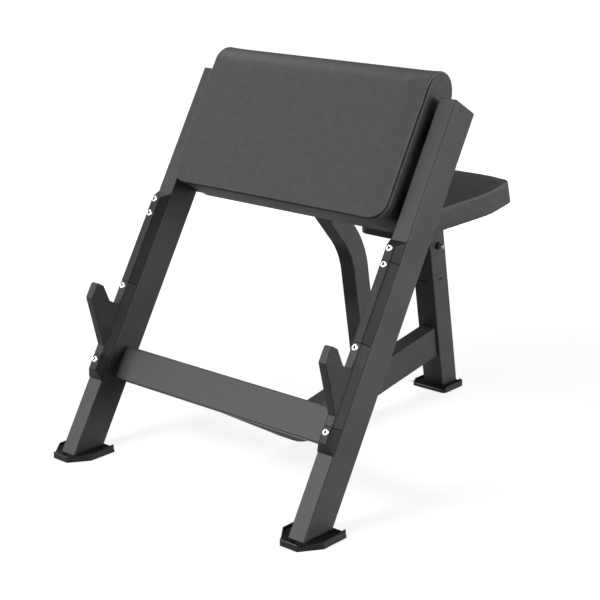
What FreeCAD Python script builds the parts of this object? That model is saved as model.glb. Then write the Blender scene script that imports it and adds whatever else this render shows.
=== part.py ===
import FreeCAD, Part
import math
import os
import Sketcher

# Preacher curl bench: two raked legs carry a half-round arm pad and bar catches, a bent base rail
# runs back to a leaning post, and a seat on a square tube slides in that post.
# X is to the right, Y runs from the arm pad to the seat, Z is up and the floor is at zero.
# All lengths are in millimetres and all angles in degrees.

DIMENSIONS = [
    ("overall_length", "1230"),
    ("leg_spread", "792.8"),
    ("leg_width", "50"),
    ("leg_depth", "90"),
    ("leg_length", "1101"),
    ("leg_rake", "30.2"),
    ("tube_wall", "3"),
    ("tube_inner_corner", "1"),
    ("cap_head", "4"),
    ("cap_plug", "20"),
    ("plug_play", "0.2"),
    ("cap_bevel", "1.5"),
    ("beam_height", "90"),
    ("beam_depth", "50"),
    ("beam_low", "226.4"),
    ("sole_thickness", "6.5"),
    ("foot_plate_thickness", "6"),
    ("foot_nose", "26.2"),
    ("foot_nose_width", "52.2"),
    ("foot_width", "125.6"),
    ("foot_taper_run", "51.8"),
    ("foot_tail", "107.3"),
    ("foot_rim", "5"),
    ("foot_rim_height", "18"),
    ("foot_lip_height", "16"),
    ("foot_wall_low", "10"),
    ("foot_nub_length", "9"),
    ("foot_nub_height", "21"),
    ("foot_bevel", "1.5"),
    ("foot_rounding", "2"),
    ("foot_plate_play", "0.3"),
    ("foot_plate_corner", "4"),
    ("anchor_hole", "9"),
    ("anchor_ahead", "10"),
    ("rear_foot_width", "118.4"),
    ("rear_foot_ahead", "60.8"),
    ("rear_foot_behind", "38"),
    ("rear_foot_corner", "12"),
    ("rear_anchor_spread", "90"),
    ("rear_anchor_behind", "22"),
    ("rear_tilt", "10"),
    ("post_size", "70"),
    ("post_wall", "3"),
    ("post_vent", "4"),
    ("post_vent_length", "20"),
    ("post_vent_below_pin", "104"),
    ("rail_run", "300"),
    ("rail_radius", "125"),
    ("support_width", "50"),
    ("support_depth", "60"),
    ("support_landing", "80.9"),
    ("support_upper_run", "273.3"),
    ("support_bend", "31.5"),
    ("support_radius", "220"),
    ("pad_width", "712"),
    ("pad_thickness", "113"),
    ("pad_proud", "40"),
    ("pad_low", "765"),
    ("pad_high", "1171"),
    ("pad_corner", "50"),
    ("pad_crown", "4"),
    ("pad_draw_in", "1.5"),
    ("pad_edge", "7"),
    ("board_thickness", "15"),
    ("pad_board_margin", "22"),
    ("pad_board_corner", "30"),
    ("bar_thickness", "10"),
    ("bar_corner", "2"),
    ("lower_bar_low", "773"),
    ("lower_bar_height", "120"),
    ("upper_bar_low", "990"),
    ("upper_bar_height", "80"),
    ("pad_bolt_spread", "560"),
    ("pad_bolt_row", "60"),
    ("bolt_bite", "12"),
    ("screw_diameter", "8"),
    ("screw_head", "16.4"),
    ("screw_head_height", "4.4"),
    ("screw_head_bevel", "2.2"),
    ("bolt_head", "13"),
    ("bolt_head_height", "5.3"),
    ("screw_socket", "5"),
    ("screw_socket_depth", "2.4"),
    ("screw_play", "0.3"),
    ("screw_bite", "8"),
    ("guard_base", "49.5"),
    ("guard_flat", "24"),
    ("guard_depth", "25.5"),
    ("guard_rounding", "6"),
    ("guard_end_run", "22"),
    ("guard_joint", "0.8"),
    ("guard_base_bevel", "1.6"),
    ("catch_low", "205"),
    ("bottom_guard_length", "63"),
    ("hook_length", "205"),
    ("middle_guard_length", "204"),
    ("top_guard_length", "58"),
    ("bottom_screw_in", "15.2"),
    ("hook_screw_in", "13.4"),
    ("middle_screw_in", "10.7"),
    ("top_screw_in", "28.1"),
    ("hook_thickness", "24"),
    ("hook_root", "25"),
    ("hook_rise", "100"),
    ("hook_reach", "125"),
    ("hook_nose", "44"),
    ("hook_tip", "25"),
    ("hook_tip_rounding", "7"),
    ("hook_edge", "3"),
    ("notch_floor", "140"),
    ("notch_width", "35"),
    ("notch_rounding", "6"),
    ("seat_height", "537.3"),
    ("seat_plate_thickness", "5"),
    ("seat_plate_width", "140"),
    ("seat_plate_length", "220"),
    ("seat_plate_corner", "15"),
    ("seat_stop_gap", "0.3"),
    ("seat_length", "399"),
    ("seat_front_width", "162"),
    ("seat_width", "356"),
    ("seat_shoulder", "69"),
    ("seat_back_flat", "170"),
    ("seat_back_drop", "13"),
    ("seat_corner", "28"),
    ("seat_side_radius", "160"),
    ("seat_back_radius", "200"),
    ("seat_thickness", "64"),
    ("seat_crown", "4"),
    ("seat_draw_in", "2"),
    ("seat_edge", "7"),
    ("seat_board_margin", "14"),
    ("seat_bolt_spread", "100"),
    ("seat_bolt_row", "170"),
    ("seat_tube_size", "60"),
    ("seat_tube_wall", "3"),
    ("seat_tube_clearance", "107.9"),
    ("bush_collar", "3"),
    ("bush_length", "60"),
    ("bush_play", "0.05"),
    ("bush_seat_play", "0.05"),
    ("glide_length", "25"),
    ("glide_play", "0.1"),
    ("pin_drop", "93"),
    ("pin_diameter", "10"),
    ("pin_play", "0.05"),
    ("pin_bite", "6"),
    ("pin_hole_play", "0.5"),
    ("pin_hole_pitch", "25"),
    ("pin_hole_count", "7"),
    ("housing_diameter", "22"),
    ("housing_length", "10"),
    ("housing_bevel", "1"),
    ("knob_diameter", "14"),
    ("knob_length", "9.5"),
    ("knob_bevel", "2"),
    ("knob_gap", "0.3"),
    ("knob_socket", "7"),
    ("overrun", "5"),
]

doc = FreeCAD.newDocument("preacher_curl_bench")
sheet = doc.addObject("Spreadsheet::Sheet", "Dims")
for row, (alias, text) in enumerate(DIMENSIONS, start=1):
    sheet.set("A%d" % row, alias)
    sheet.set("B%d" % row, text)
    sheet.setAlias("B%d" % row, alias)
doc.recompute()


# A size is a number together with the sheet expression that it comes from.
class Size:
    def __init__(self, number, text):
        self.number = number
        self.text = text

    def __add__(self, other):
        other = sized(other)
        return Size(self.number + other.number, "(%s + %s)" % (self.text, other.text))

    def __sub__(self, other):
        other = sized(other)
        return Size(self.number - other.number, "(%s - %s)" % (self.text, other.text))

    def __mul__(self, other):
        other = sized(other)
        return Size(self.number * other.number, "(%s * %s)" % (self.text, other.text))

    def __truediv__(self, other):
        other = sized(other)
        return Size(self.number / other.number, "(%s / %s)" % (self.text, other.text))

    def __neg__(self):
        return Size(-self.number, "(-1 * %s)" % self.text)


def sized(value):
    if isinstance(value, Size):
        return value
    return Size(float(value), "(%r)" % float(value))


def sine(angle):
    return Size(math.sin(math.radians(angle.number)), "sin(%s)" % angle.text)


def cosine(angle):
    return Size(math.cos(math.radians(angle.number)), "cos(%s)" % angle.text)


def tangent(angle):
    return Size(math.tan(math.radians(angle.number)), "tan(%s)" % angle.text)


class Sheet:
    def __getattr__(self, alias):
        return Size(float(sheet.get(alias)), "Dims.%s" % alias)


d = Sheet()
zero = sized(0)
near_zero = 1e-6


def bind(thing, prop, value):
    thing.setExpression(prop, sized(value).text)


# Bodies and sketches.
def new_body(label):
    body = doc.addObject("PartDesign::Body", label)
    body.Label = label
    return body


def new_sketch(body, role, offset=None):
    sketch = body.newObject("Sketcher::SketchObject", body.Label + "_sketch")
    support = [item for item in body.Origin.OriginFeatures if item.Role == role][0]
    sketch.AttachmentSupport = [(support, "")]
    sketch.MapMode = "FlatFace"
    if offset is not None:
        sketch.AttachmentOffset = FreeCAD.Placement(FreeCAD.Vector(0, 0, offset.number), FreeCAD.Rotation())
        bind(sketch, "AttachmentOffset.Base.z", offset)
    return sketch


def constrain(sketch, value, *words):
    index = sketch.addConstraint(Sketcher.Constraint(*words, value.number))
    sketch.setExpression("Constraints[%d]" % index, value.text)


def locate(sketch, geometry, point, x, y):
    x = sized(x)
    y = sized(y)
    constrain(sketch, x, "DistanceX", -1, 1, geometry, point)
    constrain(sketch, y, "DistanceY", -1, 1, geometry, point)


# An arc that stands proud of the line between two points, to the right of the way from first to last.
def crowned_edge(sketch, first, last, rise, half):
    radius = (half * half + rise * rise) / (rise * 2)
    way = (last - first).normalize()
    inward = FreeCAD.Vector(-way.y, way.x, 0)
    middle = (first + last) / 2 + inward * (radius - rise).number
    start = math.atan2(first.y - middle.y, first.x - middle.x)
    stop = math.atan2(last.y - middle.y, last.x - middle.x)
    ring = Part.Circle(middle, FreeCAD.Vector(0, 0, 1), radius.number)
    arc = sketch.addGeometry(Part.ArcOfCircle(ring, start, stop), False)
    constrain(sketch, radius, "Radius", arc)
    return arc


# A closed outline: each corner is (x, y), or (x, y, radius) for a rounded one. The edge after the last
# corner is crowned if a crown (rise, half length) is given.
def outline(sketch, corners, crown=None):
    count = len(corners)
    points = []
    for corner in corners:
        points.append(FreeCAD.Vector(sized(corner[0]).number, sized(corner[1]).number, 0))
    entries = []
    exits = []
    arcs = []
    for index, corner in enumerate(corners):
        here = points[index]
        if len(corner) == 2:
            entries.append(here)
            exits.append(here)
            arcs.append(None)
            continue
        back = (points[index - 1] - here).normalize()
        ahead = (points[(index + 1) % count] - here).normalize()
        radius = sized(corner[2]).number
        half = back.getAngle(ahead) / 2
        entry = here + back * (radius / math.tan(half))
        leave = here + ahead * (radius / math.tan(half))
        middle = here + (back + ahead).normalize() * (radius / math.sin(half))
        left_turn = back.cross(ahead).z < 0
        first = entry if left_turn else leave
        last = leave if left_turn else entry
        start = math.atan2(first.y - middle.y, first.x - middle.x)
        stop = math.atan2(last.y - middle.y, last.x - middle.x)
        circle = Part.Circle(middle, FreeCAD.Vector(0, 0, 1), radius)
        entries.append(entry)
        exits.append(leave)
        arcs.append((Part.ArcOfCircle(circle, start, stop), left_turn))
    lines = []
    for index in range(count):
        leave = exits[index]
        entry = entries[(index + 1) % count]
        if crown is not None and index == count - 1:
            lines.append(crowned_edge(sketch, leave, entry, crown[0], crown[1]))
        else:
            lines.append(sketch.addGeometry(Part.LineSegment(leave, entry), False))
    for index, corner in enumerate(corners):
        before = lines[index - 1]
        after = lines[index]
        if arcs[index] is None:
            sketch.addConstraint(Sketcher.Constraint("Coincident", before, 2, after, 1))
            locate(sketch, after, 1, corner[0], corner[1])
            continue
        arc = sketch.addGeometry(arcs[index][0], False)
        entry_point = 1 if arcs[index][1] else 2
        sketch.addConstraint(Sketcher.Constraint("Tangent", before, 2, arc, entry_point))
        sketch.addConstraint(Sketcher.Constraint("Tangent", arc, 3 - entry_point, after, 1))
        constrain(sketch, sized(corner[2]), "Radius", arc)
        mark = sketch.addGeometry(Part.Point(points[index]), True)
        locate(sketch, mark, 1, corner[0], corner[1])
        sketch.addConstraint(Sketcher.Constraint("PointOnObject", mark, 1, before))
        sketch.addConstraint(Sketcher.Constraint("PointOnObject", mark, 1, after))


def rectangle(sketch, low_x, high_x, low_y, high_y, radius=None):
    corners = [(low_x, low_y), (high_x, low_y), (high_x, high_y), (low_x, high_y)]
    if radius is not None:
        corners = [corner + (radius,) for corner in corners]
    outline(sketch, corners)


def circle(sketch, x, y, radius):
    x = sized(x)
    y = sized(y)
    shape = Part.Circle(FreeCAD.Vector(x.number, y.number, 0), FreeCAD.Vector(0, 0, 1), radius.number)
    ring = sketch.addGeometry(shape, False)
    constrain(sketch, radius, "Radius", ring)
    locate(sketch, ring, 3, x, y)


def tube_section(sketch, width, depth, wall, middle_x, middle_y):
    inner = d.tube_inner_corner
    low_x = middle_x - width / 2
    high_x = middle_x + width / 2
    low_y = middle_y - depth / 2
    high_y = middle_y + depth / 2
    rectangle(sketch, low_x, high_x, low_y, high_y, inner + wall)
    rectangle(sketch, low_x + wall, high_x - wall, low_y + wall, high_y - wall, inner)


# Features.
def finish(body, feature):
    doc.recompute()
    if "Invalid" in feature.State or feature.Shape.isNull():
        raise RuntimeError("%s failed in %s" % (feature.Name, body.Label))
    return feature


def pad(body, sketch, length, symmetric=False, backwards=False, taper=None):
    feature = body.newObject("PartDesign::Pad", body.Label + "_pad")
    feature.Profile = sketch
    feature.Length = sized(length).number
    bind(feature, "Length", length)
    if symmetric:
        feature.SideType = "Symmetric"
    feature.Reversed = backwards
    if taper is not None:
        feature.TaperAngle = taper.number
        bind(feature, "TaperAngle", taper)
    return finish(body, feature)


def pocket(body, sketch, length=None, backwards=False):
    doc.recompute()
    volume = body.Shape.Volume
    feature = body.newObject("PartDesign::Pocket", body.Label + "_pocket")
    feature.Profile = sketch
    if length is None:
        feature.Type = "ThroughAll"
        feature.SideType = "Symmetric"
    else:
        feature.Length = sized(length).number
        bind(feature, "Length", length)
        feature.Reversed = backwards
    finish(body, feature)
    if body.Shape.Volume >= volume:
        raise RuntimeError("a pocket of %s cuts nothing" % body.Label)
    return feature


def chosen_edges(body, wanted):
    names = []
    for index, edge in enumerate(body.Tip.Shape.Edges, start=1):
        if wanted(edge):
            names.append("Edge%d" % index)
    if not names:
        raise RuntimeError("no such edges on %s" % body.Label)
    return body.Tip, names


def round_edges(body, radius, wanted):
    chosen = chosen_edges(body, wanted)
    feature = body.newObject("PartDesign::Fillet", body.Label + "_rounding")
    feature.Base = chosen
    feature.Radius = radius.number
    bind(feature, "Radius", radius)
    return finish(body, feature)


def bevel_edges(body, size, wanted):
    chosen = chosen_edges(body, wanted)
    feature = body.newObject("PartDesign::Chamfer", body.Label + "_bevel")
    feature.Base = chosen
    feature.Size = size.number
    bind(feature, "Size", size)
    return finish(body, feature)


def sweep(body, section, path):
    feature = body.newObject("PartDesign::AdditivePipe", body.Label + "_pipe")
    feature.Profile = section
    feature.Spine = path
    feature.Mode = "Standard"
    return finish(body, feature)


# A bent path: a run along the sketch's first direction, one tangent bend, and a second run.
def bent_path(sketch, start, corner, end, radius):
    points = []
    for x, y in (start, corner, end):
        points.append(FreeCAD.Vector(sized(x).number, sized(y).number, 0))
    back = (points[0] - points[1]).normalize()
    ahead = (points[2] - points[1]).normalize()
    half = back.getAngle(ahead) / 2
    entry = points[1] + back * (radius.number / math.tan(half))
    leave = points[1] + ahead * (radius.number / math.tan(half))
    middle = points[1] + (back + ahead).normalize() * (radius.number / math.sin(half))
    left_turn = back.cross(ahead).z < 0
    first = entry if left_turn else leave
    last = leave if left_turn else entry
    begin = math.atan2(first.y - middle.y, first.x - middle.x)
    stop = math.atan2(last.y - middle.y, last.x - middle.x)
    bend = Part.ArcOfCircle(Part.Circle(middle, FreeCAD.Vector(0, 0, 1), radius.number), begin, stop)
    line_in = sketch.addGeometry(Part.LineSegment(points[0], entry), False)
    arc = sketch.addGeometry(bend, False)
    line_out = sketch.addGeometry(Part.LineSegment(leave, points[2]), False)
    entry_point = 1 if left_turn else 2
    sketch.addConstraint(Sketcher.Constraint("Tangent", line_in, 2, arc, entry_point))
    sketch.addConstraint(Sketcher.Constraint("Tangent", arc, 3 - entry_point, line_out, 1))
    constrain(sketch, radius, "Radius", arc)
    mark = sketch.addGeometry(Part.Point(points[1]), True)
    locate(sketch, mark, 1, corner[0], corner[1])
    sketch.addConstraint(Sketcher.Constraint("PointOnObject", mark, 1, line_in))
    sketch.addConstraint(Sketcher.Constraint("PointOnObject", mark, 1, line_out))
    locate(sketch, line_in, 1, start[0], start[1])
    locate(sketch, line_out, 2, end[0], end[1])


# The three frames: the floor, the raked legs and the leaning post.
foot_top = d.sole_thickness + d.foot_plate_thickness
leg_y = d.foot_nose - d.overall_length / 2
seat_y = d.overall_length / 2 - (d.seat_length / 2 - d.seat_draw_in) * cosine(d.rear_tilt)
leg_x = d.leg_spread / 2
inner_span = d.leg_spread - d.leg_width
turn = d.leg_rake + d.rear_tilt


def place(body, x, y, z, axis=None, angle=None):
    rotation = FreeCAD.Rotation()
    if axis is not None:
        rotation = FreeCAD.Rotation(FreeCAD.Vector(axis, 0, 0), angle.number)
    base = FreeCAD.Vector(sized(x).number, sized(y).number, sized(z).number)
    body.Placement = FreeCAD.Placement(base, rotation)
    bind(body, "Placement.Base.x", x)
    bind(body, "Placement.Base.y", y)
    bind(body, "Placement.Base.z", z)
    if axis is not None:
        bind(body, "Placement.Rotation.Angle", angle)


# Along a leg: local Y is the depth behind its front face, local Z runs up its front edge.
def on_leg(body, x=zero):
    place(body, x, leg_y, foot_top, -1, d.leg_rake)


# Along the post: local Y runs back along the seat, local Z up the post from the seat's underside.
def on_post(body):
    place(body, zero, seat_y, d.seat_height, 1, d.rear_tilt)


def leg_to_post(depth, along):
    y = leg_y + along * sine(d.leg_rake) + depth * cosine(d.leg_rake) - seat_y
    z = foot_top + along * cosine(d.leg_rake) - depth * sine(d.leg_rake) - d.seat_height
    return y * cosine(d.rear_tilt) + z * sine(d.rear_tilt), z * cosine(d.rear_tilt) - y * sine(d.rear_tilt)


# Places along a leg.
hook_low = d.catch_low + d.bottom_guard_length
hook_high = hook_low + d.hook_length
middle_high = hook_high + d.middle_guard_length
catch_high = middle_high + d.top_guard_length
screw_places = [
    hook_low - d.bottom_screw_in,
    hook_high - d.hook_screw_in,
    middle_high - d.middle_screw_in,
    catch_high - d.top_screw_in,
]
screw_hole = d.screw_diameter / 2 + d.screw_play
pad_back = d.pad_thickness - d.pad_proud
bar_back = pad_back + d.bar_thickness
lower_bar_middle = d.lower_bar_low + d.lower_bar_height / 2
upper_bar_middle = d.upper_bar_low + d.upper_bar_height / 2
pad_bolt_places = []
pad_bolt_rows = [lower_bar_middle - d.pad_bolt_row / 2, lower_bar_middle + d.pad_bolt_row / 2, upper_bar_middle]
for along in pad_bolt_rows:
    pad_bolt_places.append((-d.pad_bolt_spread / 2, along))
    pad_bolt_places.append((d.pad_bolt_spread / 2, along))

nodes = []


def keep(thing):
    nodes.append(thing)
    return thing


# Legs: rectangular tube, cut level on the foot plate, with tapped holes for the catch screws.
def make_leg(label, x):
    body = new_body(label)
    section = new_sketch(body, "XY_Plane")
    tube_section(section, d.leg_width, d.leg_depth, d.tube_wall, zero, d.leg_depth / 2)
    pad(body, section, d.leg_length - d.cap_head)
    slope = tangent(d.leg_rake)
    far = d.leg_depth + d.overrun
    below = -(d.overrun * 2)
    wedge = new_sketch(body, "YZ_Plane")
    near = -d.overrun
    outline(wedge, [(near, below), (far, below), (far, far * slope), (near, near * slope)])
    pocket(body, wedge)
    holes = new_sketch(body, "XZ_Plane")
    for along in screw_places:
        circle(holes, zero, along, screw_hole)
    pocket(body, holes, d.tube_wall + d.overrun)
    on_leg(body, x)
    return keep(body)


def make_cap(label, x):
    body = new_body(label)
    level = d.leg_length - d.cap_head
    head = new_sketch(body, "XY_Plane", level)
    half = d.leg_width / 2
    rectangle(head, -half, half, zero, d.leg_depth, d.tube_inner_corner + d.tube_wall)
    pad(body, head, d.cap_head)
    inset = d.tube_wall + d.plug_play
    plug = new_sketch(body, "XY_Plane", level)
    rectangle(plug, inset - half, half - inset, inset, d.leg_depth - inset, d.tube_inner_corner)
    pad(body, plug, d.cap_plug, backwards=True)
    top = d.leg_length.number
    bevel_edges(body, d.cap_bevel, lambda edge: edge.BoundBox.ZMin > top - near_zero)
    on_leg(body, x)
    return keep(body)


make_leg("left_leg", -leg_x)
make_leg("right_leg", leg_x)
make_cap("left_leg_cap", -leg_x)
make_cap("right_leg_cap", leg_x)

# Front crossbeam, flush with the backs of the legs.
beam = new_body("front_crossbeam")
beam_sketch = new_sketch(beam, "YZ_Plane")
beam_middle = d.beam_low + d.beam_height / 2
beam_setback = d.leg_depth - d.beam_depth / 2
tube_section(beam_sketch, d.beam_depth, d.beam_height, d.tube_wall, beam_setback, beam_middle)
pad(beam, beam_sketch, inner_span, symmetric=True)
on_leg(beam)
keep(beam)


# Flat bars between the legs, to which the arm pad is bolted.
def make_bar(label, low, height, places):
    body = new_body(label)
    section = new_sketch(body, "YZ_Plane")
    rectangle(section, pad_back, bar_back, low, low + height, d.bar_corner)
    pad(body, section, inner_span, symmetric=True)
    holes = new_sketch(body, "XZ_Plane")
    for x, along in places:
        circle(holes, x, along, screw_hole)
    pocket(body, holes)
    on_leg(body)
    return keep(body)


make_bar("lower_pad_bar", d.lower_bar_low, d.lower_bar_height, pad_bolt_places[:4])
make_bar("upper_pad_bar", d.upper_bar_low, d.upper_bar_height, pad_bolt_places[4:])

# Base rail: square to the crossbeam, bent once, then square to the post.
rail = new_body("base_rail")
rail_section = new_sketch(rail, "XZ_Plane", -d.leg_depth)
tube_section(rail_section, d.leg_width, d.beam_height, d.tube_wall, zero, beam_middle)
corner_depth = d.leg_depth + d.rail_run
post_v, post_w = leg_to_post(corner_depth, beam_middle)
rail_rear = -post_v - d.post_size / 2
rail_path = new_sketch(rail, "YZ_Plane")
rail_end = (corner_depth + rail_rear * cosine(turn), beam_middle + rail_rear * sine(turn))
bent_path(rail_path, (d.leg_depth, beam_middle), (corner_depth, beam_middle), rail_end, d.rail_radius)
sweep(rail, rail_section, rail_path)
on_leg(rail)
keep(rail)
rail_top = post_w + d.beam_height / 2

# Bent support from the rail to the lower pad bar, mitred against the bar's back.
support = new_body("bent_support")
bar_v, bar_w = leg_to_post(bar_back, d.lower_bar_low + d.support_landing)
bend_v = bar_v + d.support_upper_run * sine(d.support_bend)
bend_w = bar_w - d.support_upper_run * cosine(d.support_bend)
support_section = new_sketch(support, "XY_Plane", rail_top)
tube_section(support_section, d.support_width, d.support_depth, d.tube_wall, zero, bend_v)
support_end = (
    bar_v - d.support_depth * sine(d.support_bend),
    bar_w + d.support_depth * cosine(d.support_bend),
)
support_path = new_sketch(support, "YZ_Plane")
bent_path(support_path, (bend_v, rail_top), (bend_v, bend_w), support_end, d.support_radius)
sweep(support, support_section, support_path)
mitre = new_sketch(support, "YZ_Plane")
along_y = sine(turn) * d.support_upper_run
along_z = cosine(turn) * d.support_upper_run
ahead_y = -(cosine(turn) * d.support_upper_run)
ahead_z = sine(turn) * d.support_upper_run
outline(mitre, [
    (bar_v - along_y, bar_w - along_z),
    (bar_v + along_y, bar_w + along_z),
    (bar_v + along_y + ahead_y, bar_w + along_z + ahead_z),
    (bar_v - along_y + ahead_y, bar_w - along_z + ahead_z),
])
pocket(support, mitre)
on_post(support)
keep(support)

# Post: square tube cut level on its foot plate, open at the top for the seat tube.
collar_top = -(d.seat_plate_thickness + d.seat_stop_gap)
post_top = collar_top - d.bush_collar
post = new_body("rear_post")
post_sketch = new_sketch(post, "XY_Plane", post_top)
tube_section(post_sketch, d.post_size, d.post_size, d.post_wall, zero, zero)
pad(post, post_sketch, d.seat_height / cosine(d.rear_tilt) + d.post_size, backwards=True)
lean = tangent(d.rear_tilt)
plate_w = (foot_top - d.seat_height) / cosine(d.rear_tilt)
side = d.post_size / 2 + d.overrun
bottom = plate_w - d.post_size * 2
post_cut = new_sketch(post, "YZ_Plane")
rise = side * lean
outline(post_cut, [(-side, bottom), (side, bottom), (side, plate_w - rise), (-side, plate_w + rise)])
pocket(post, post_cut)
post_holes = new_sketch(post, "YZ_Plane")
circle(post_holes, zero, -d.pin_drop, d.pin_diameter / 2 + d.pin_play)
vent_half = d.post_vent_length / 2
vent_high = d.post_vent / 2 - (d.pin_drop + d.post_vent_below_pin)
rectangle(post_holes, -vent_half, vent_half, vent_high - d.post_vent, vent_high)
pocket(post, post_holes, side, backwards=True)
front_vent = new_sketch(post, "XZ_Plane")
rectangle(front_vent, -vent_half, vent_half, vent_high - d.post_vent, vent_high)
pocket(post, front_vent, side, backwards=True)
on_post(post)
keep(post)

# Guide bush: a collar on the post's mouth and a liner inside it.
bush = new_body("post_bush")
half_post = d.post_size / 2
half_slide = d.seat_tube_size / 2 + d.bush_play
half_liner = half_post - d.post_wall - d.bush_seat_play
slide_corner = d.tube_inner_corner + d.seat_tube_wall
bush_collar = new_sketch(bush, "XY_Plane", post_top)
rectangle(bush_collar, -half_post, half_post, -half_post, half_post, d.tube_inner_corner + d.post_wall)
rectangle(bush_collar, -half_slide, half_slide, -half_slide, half_slide, slide_corner)
pad(bush, bush_collar, d.bush_collar)
bush_liner = new_sketch(bush, "XY_Plane", post_top)
rectangle(bush_liner, -half_liner, half_liner, -half_liner, half_liner, d.tube_inner_corner)
rectangle(bush_liner, -half_slide, half_slide, -half_slide, half_slide, slide_corner)
pad(bush, bush_liner, d.bush_length, backwards=True)
on_post(bush)
keep(bush)

# Pull pin: a housing on the post's right face, the pin itself and its knob.
housing = new_body("pin_housing")
housing_sketch = new_sketch(housing, "YZ_Plane", half_post)
circle(housing_sketch, zero, -d.pin_drop, d.housing_diameter / 2)
circle(housing_sketch, zero, -d.pin_drop, d.pin_diameter / 2 + d.pin_play)
pad(housing, housing_sketch, d.housing_length)
housing_end = (half_post + d.housing_length).number
housing_radius = d.housing_diameter.number / 2


def housing_rim(edge):
    return edge.BoundBox.XMin > housing_end - near_zero and edge.Curve.Radius > housing_radius - near_zero


bevel_edges(housing, d.housing_bevel, housing_rim)
on_post(housing)
keep(housing)

pin = new_body("pull_pin")
pin_tip = d.seat_tube_size / 2 - d.pin_bite
knob_start = half_post + d.housing_length + d.knob_gap
pin_sketch = new_sketch(pin, "YZ_Plane", pin_tip)
circle(pin_sketch, zero, -d.pin_drop, d.pin_diameter / 2)
pad(pin, pin_sketch, knob_start + d.knob_socket - pin_tip)
on_post(pin)
keep(pin)

knob = new_body("pin_knob")
knob_sketch = new_sketch(knob, "YZ_Plane", knob_start)
circle(knob_sketch, zero, -d.pin_drop, d.knob_diameter / 2)
pad(knob, knob_sketch, d.knob_length)
knob_bore = new_sketch(knob, "YZ_Plane", knob_start)
circle(knob_bore, zero, -d.pin_drop, d.pin_diameter / 2 + d.pin_play)
pocket(knob, knob_bore, d.knob_socket, backwards=True)
knob_end = (knob_start + d.knob_length).number
bevel_edges(knob, d.knob_bevel, lambda edge: edge.BoundBox.XMin > knob_end - near_zero)
on_post(knob)
keep(knob)


# The top line of a shoe's wall: a lip in front, a low start, a rise to the sides and a nub at the end.
def wall_line(shoe, lip_back, full, lip_height, front, tail):
    above = d.foot_nub_height + d.overrun
    nub = tail - d.foot_nub_length
    line = new_sketch(shoe, "YZ_Plane")
    outline(line, [
        (front - d.overrun, lip_height),
        (lip_back, lip_height),
        (lip_back, d.foot_wall_low),
        (full, d.foot_rim_height),
        (nub, d.foot_rim_height),
        (nub, above),
        (front - d.overrun, above),
    ])
    pocket(shoe, line)


# Front feet: a rubber shoe with a wall round its front and sides, and a steel plate lying in it.
def make_foot(side_name, x):
    nose = d.foot_nose_width / 2
    wide = d.foot_width / 2
    taper = d.foot_taper_run - d.foot_nose
    shoe = new_body(side_name + "_foot_pad")
    sole = new_sketch(shoe, "XY_Plane")
    outline(sole, [
        (-nose, -d.foot_nose, d.foot_rounding),
        (nose, -d.foot_nose, d.foot_rounding),
        (wide, taper, d.foot_rounding),
        (wide, d.foot_tail, d.foot_rounding),
        (-wide, d.foot_tail, d.foot_rounding),
        (-wide, taper, d.foot_rounding),
    ])
    circle(sole, zero, -d.anchor_ahead, d.anchor_hole / 2)
    pad(shoe, sole, d.sole_thickness)
    inner = wide - d.foot_rim
    wall_end = d.foot_tail - d.foot_rounding
    wall = new_sketch(shoe, "XY_Plane", d.sole_thickness)
    outline(wall, [
        (-wide, wall_end),
        (-wide, taper, d.foot_rounding),
        (-nose, -d.foot_nose, d.foot_rounding),
        (nose, -d.foot_nose, d.foot_rounding),
        (wide, taper, d.foot_rounding),
        (wide, wall_end),
        (inner, wall_end),
        (inner, taper),
        (nose, d.foot_rim - d.foot_nose),
        (-nose, d.foot_rim - d.foot_nose),
        (-inner, taper),
        (-inner, wall_end),
    ])
    pad(shoe, wall, d.foot_nub_height - d.sole_thickness)
    lip_back = d.foot_rim - d.foot_nose + d.foot_rounding
    wall_line(shoe, lip_back, taper, d.foot_lip_height, -d.foot_nose, wall_end)
    place(shoe, x, leg_y, zero)
    keep(shoe)
    plate = new_body(side_name + "_foot_plate")
    flat = new_sketch(plate, "XY_Plane", d.sole_thickness)
    inset = d.foot_rim + d.foot_plate_play
    edge = wide - inset
    outline(flat, [
        (-nose, inset - d.foot_nose, d.foot_plate_corner),
        (nose, inset - d.foot_nose, d.foot_plate_corner),
        (edge, taper, d.foot_plate_corner),
        (edge, d.foot_tail, d.foot_plate_corner),
        (-edge, d.foot_tail, d.foot_plate_corner),
        (-edge, taper, d.foot_plate_corner),
    ])
    circle(flat, zero, -d.anchor_ahead, d.anchor_hole / 2)
    pad(plate, flat, d.foot_plate_thickness)
    place(plate, x, leg_y, zero)
    keep(plate)


make_foot("left", -leg_x)
make_foot("right", leg_x)

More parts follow.
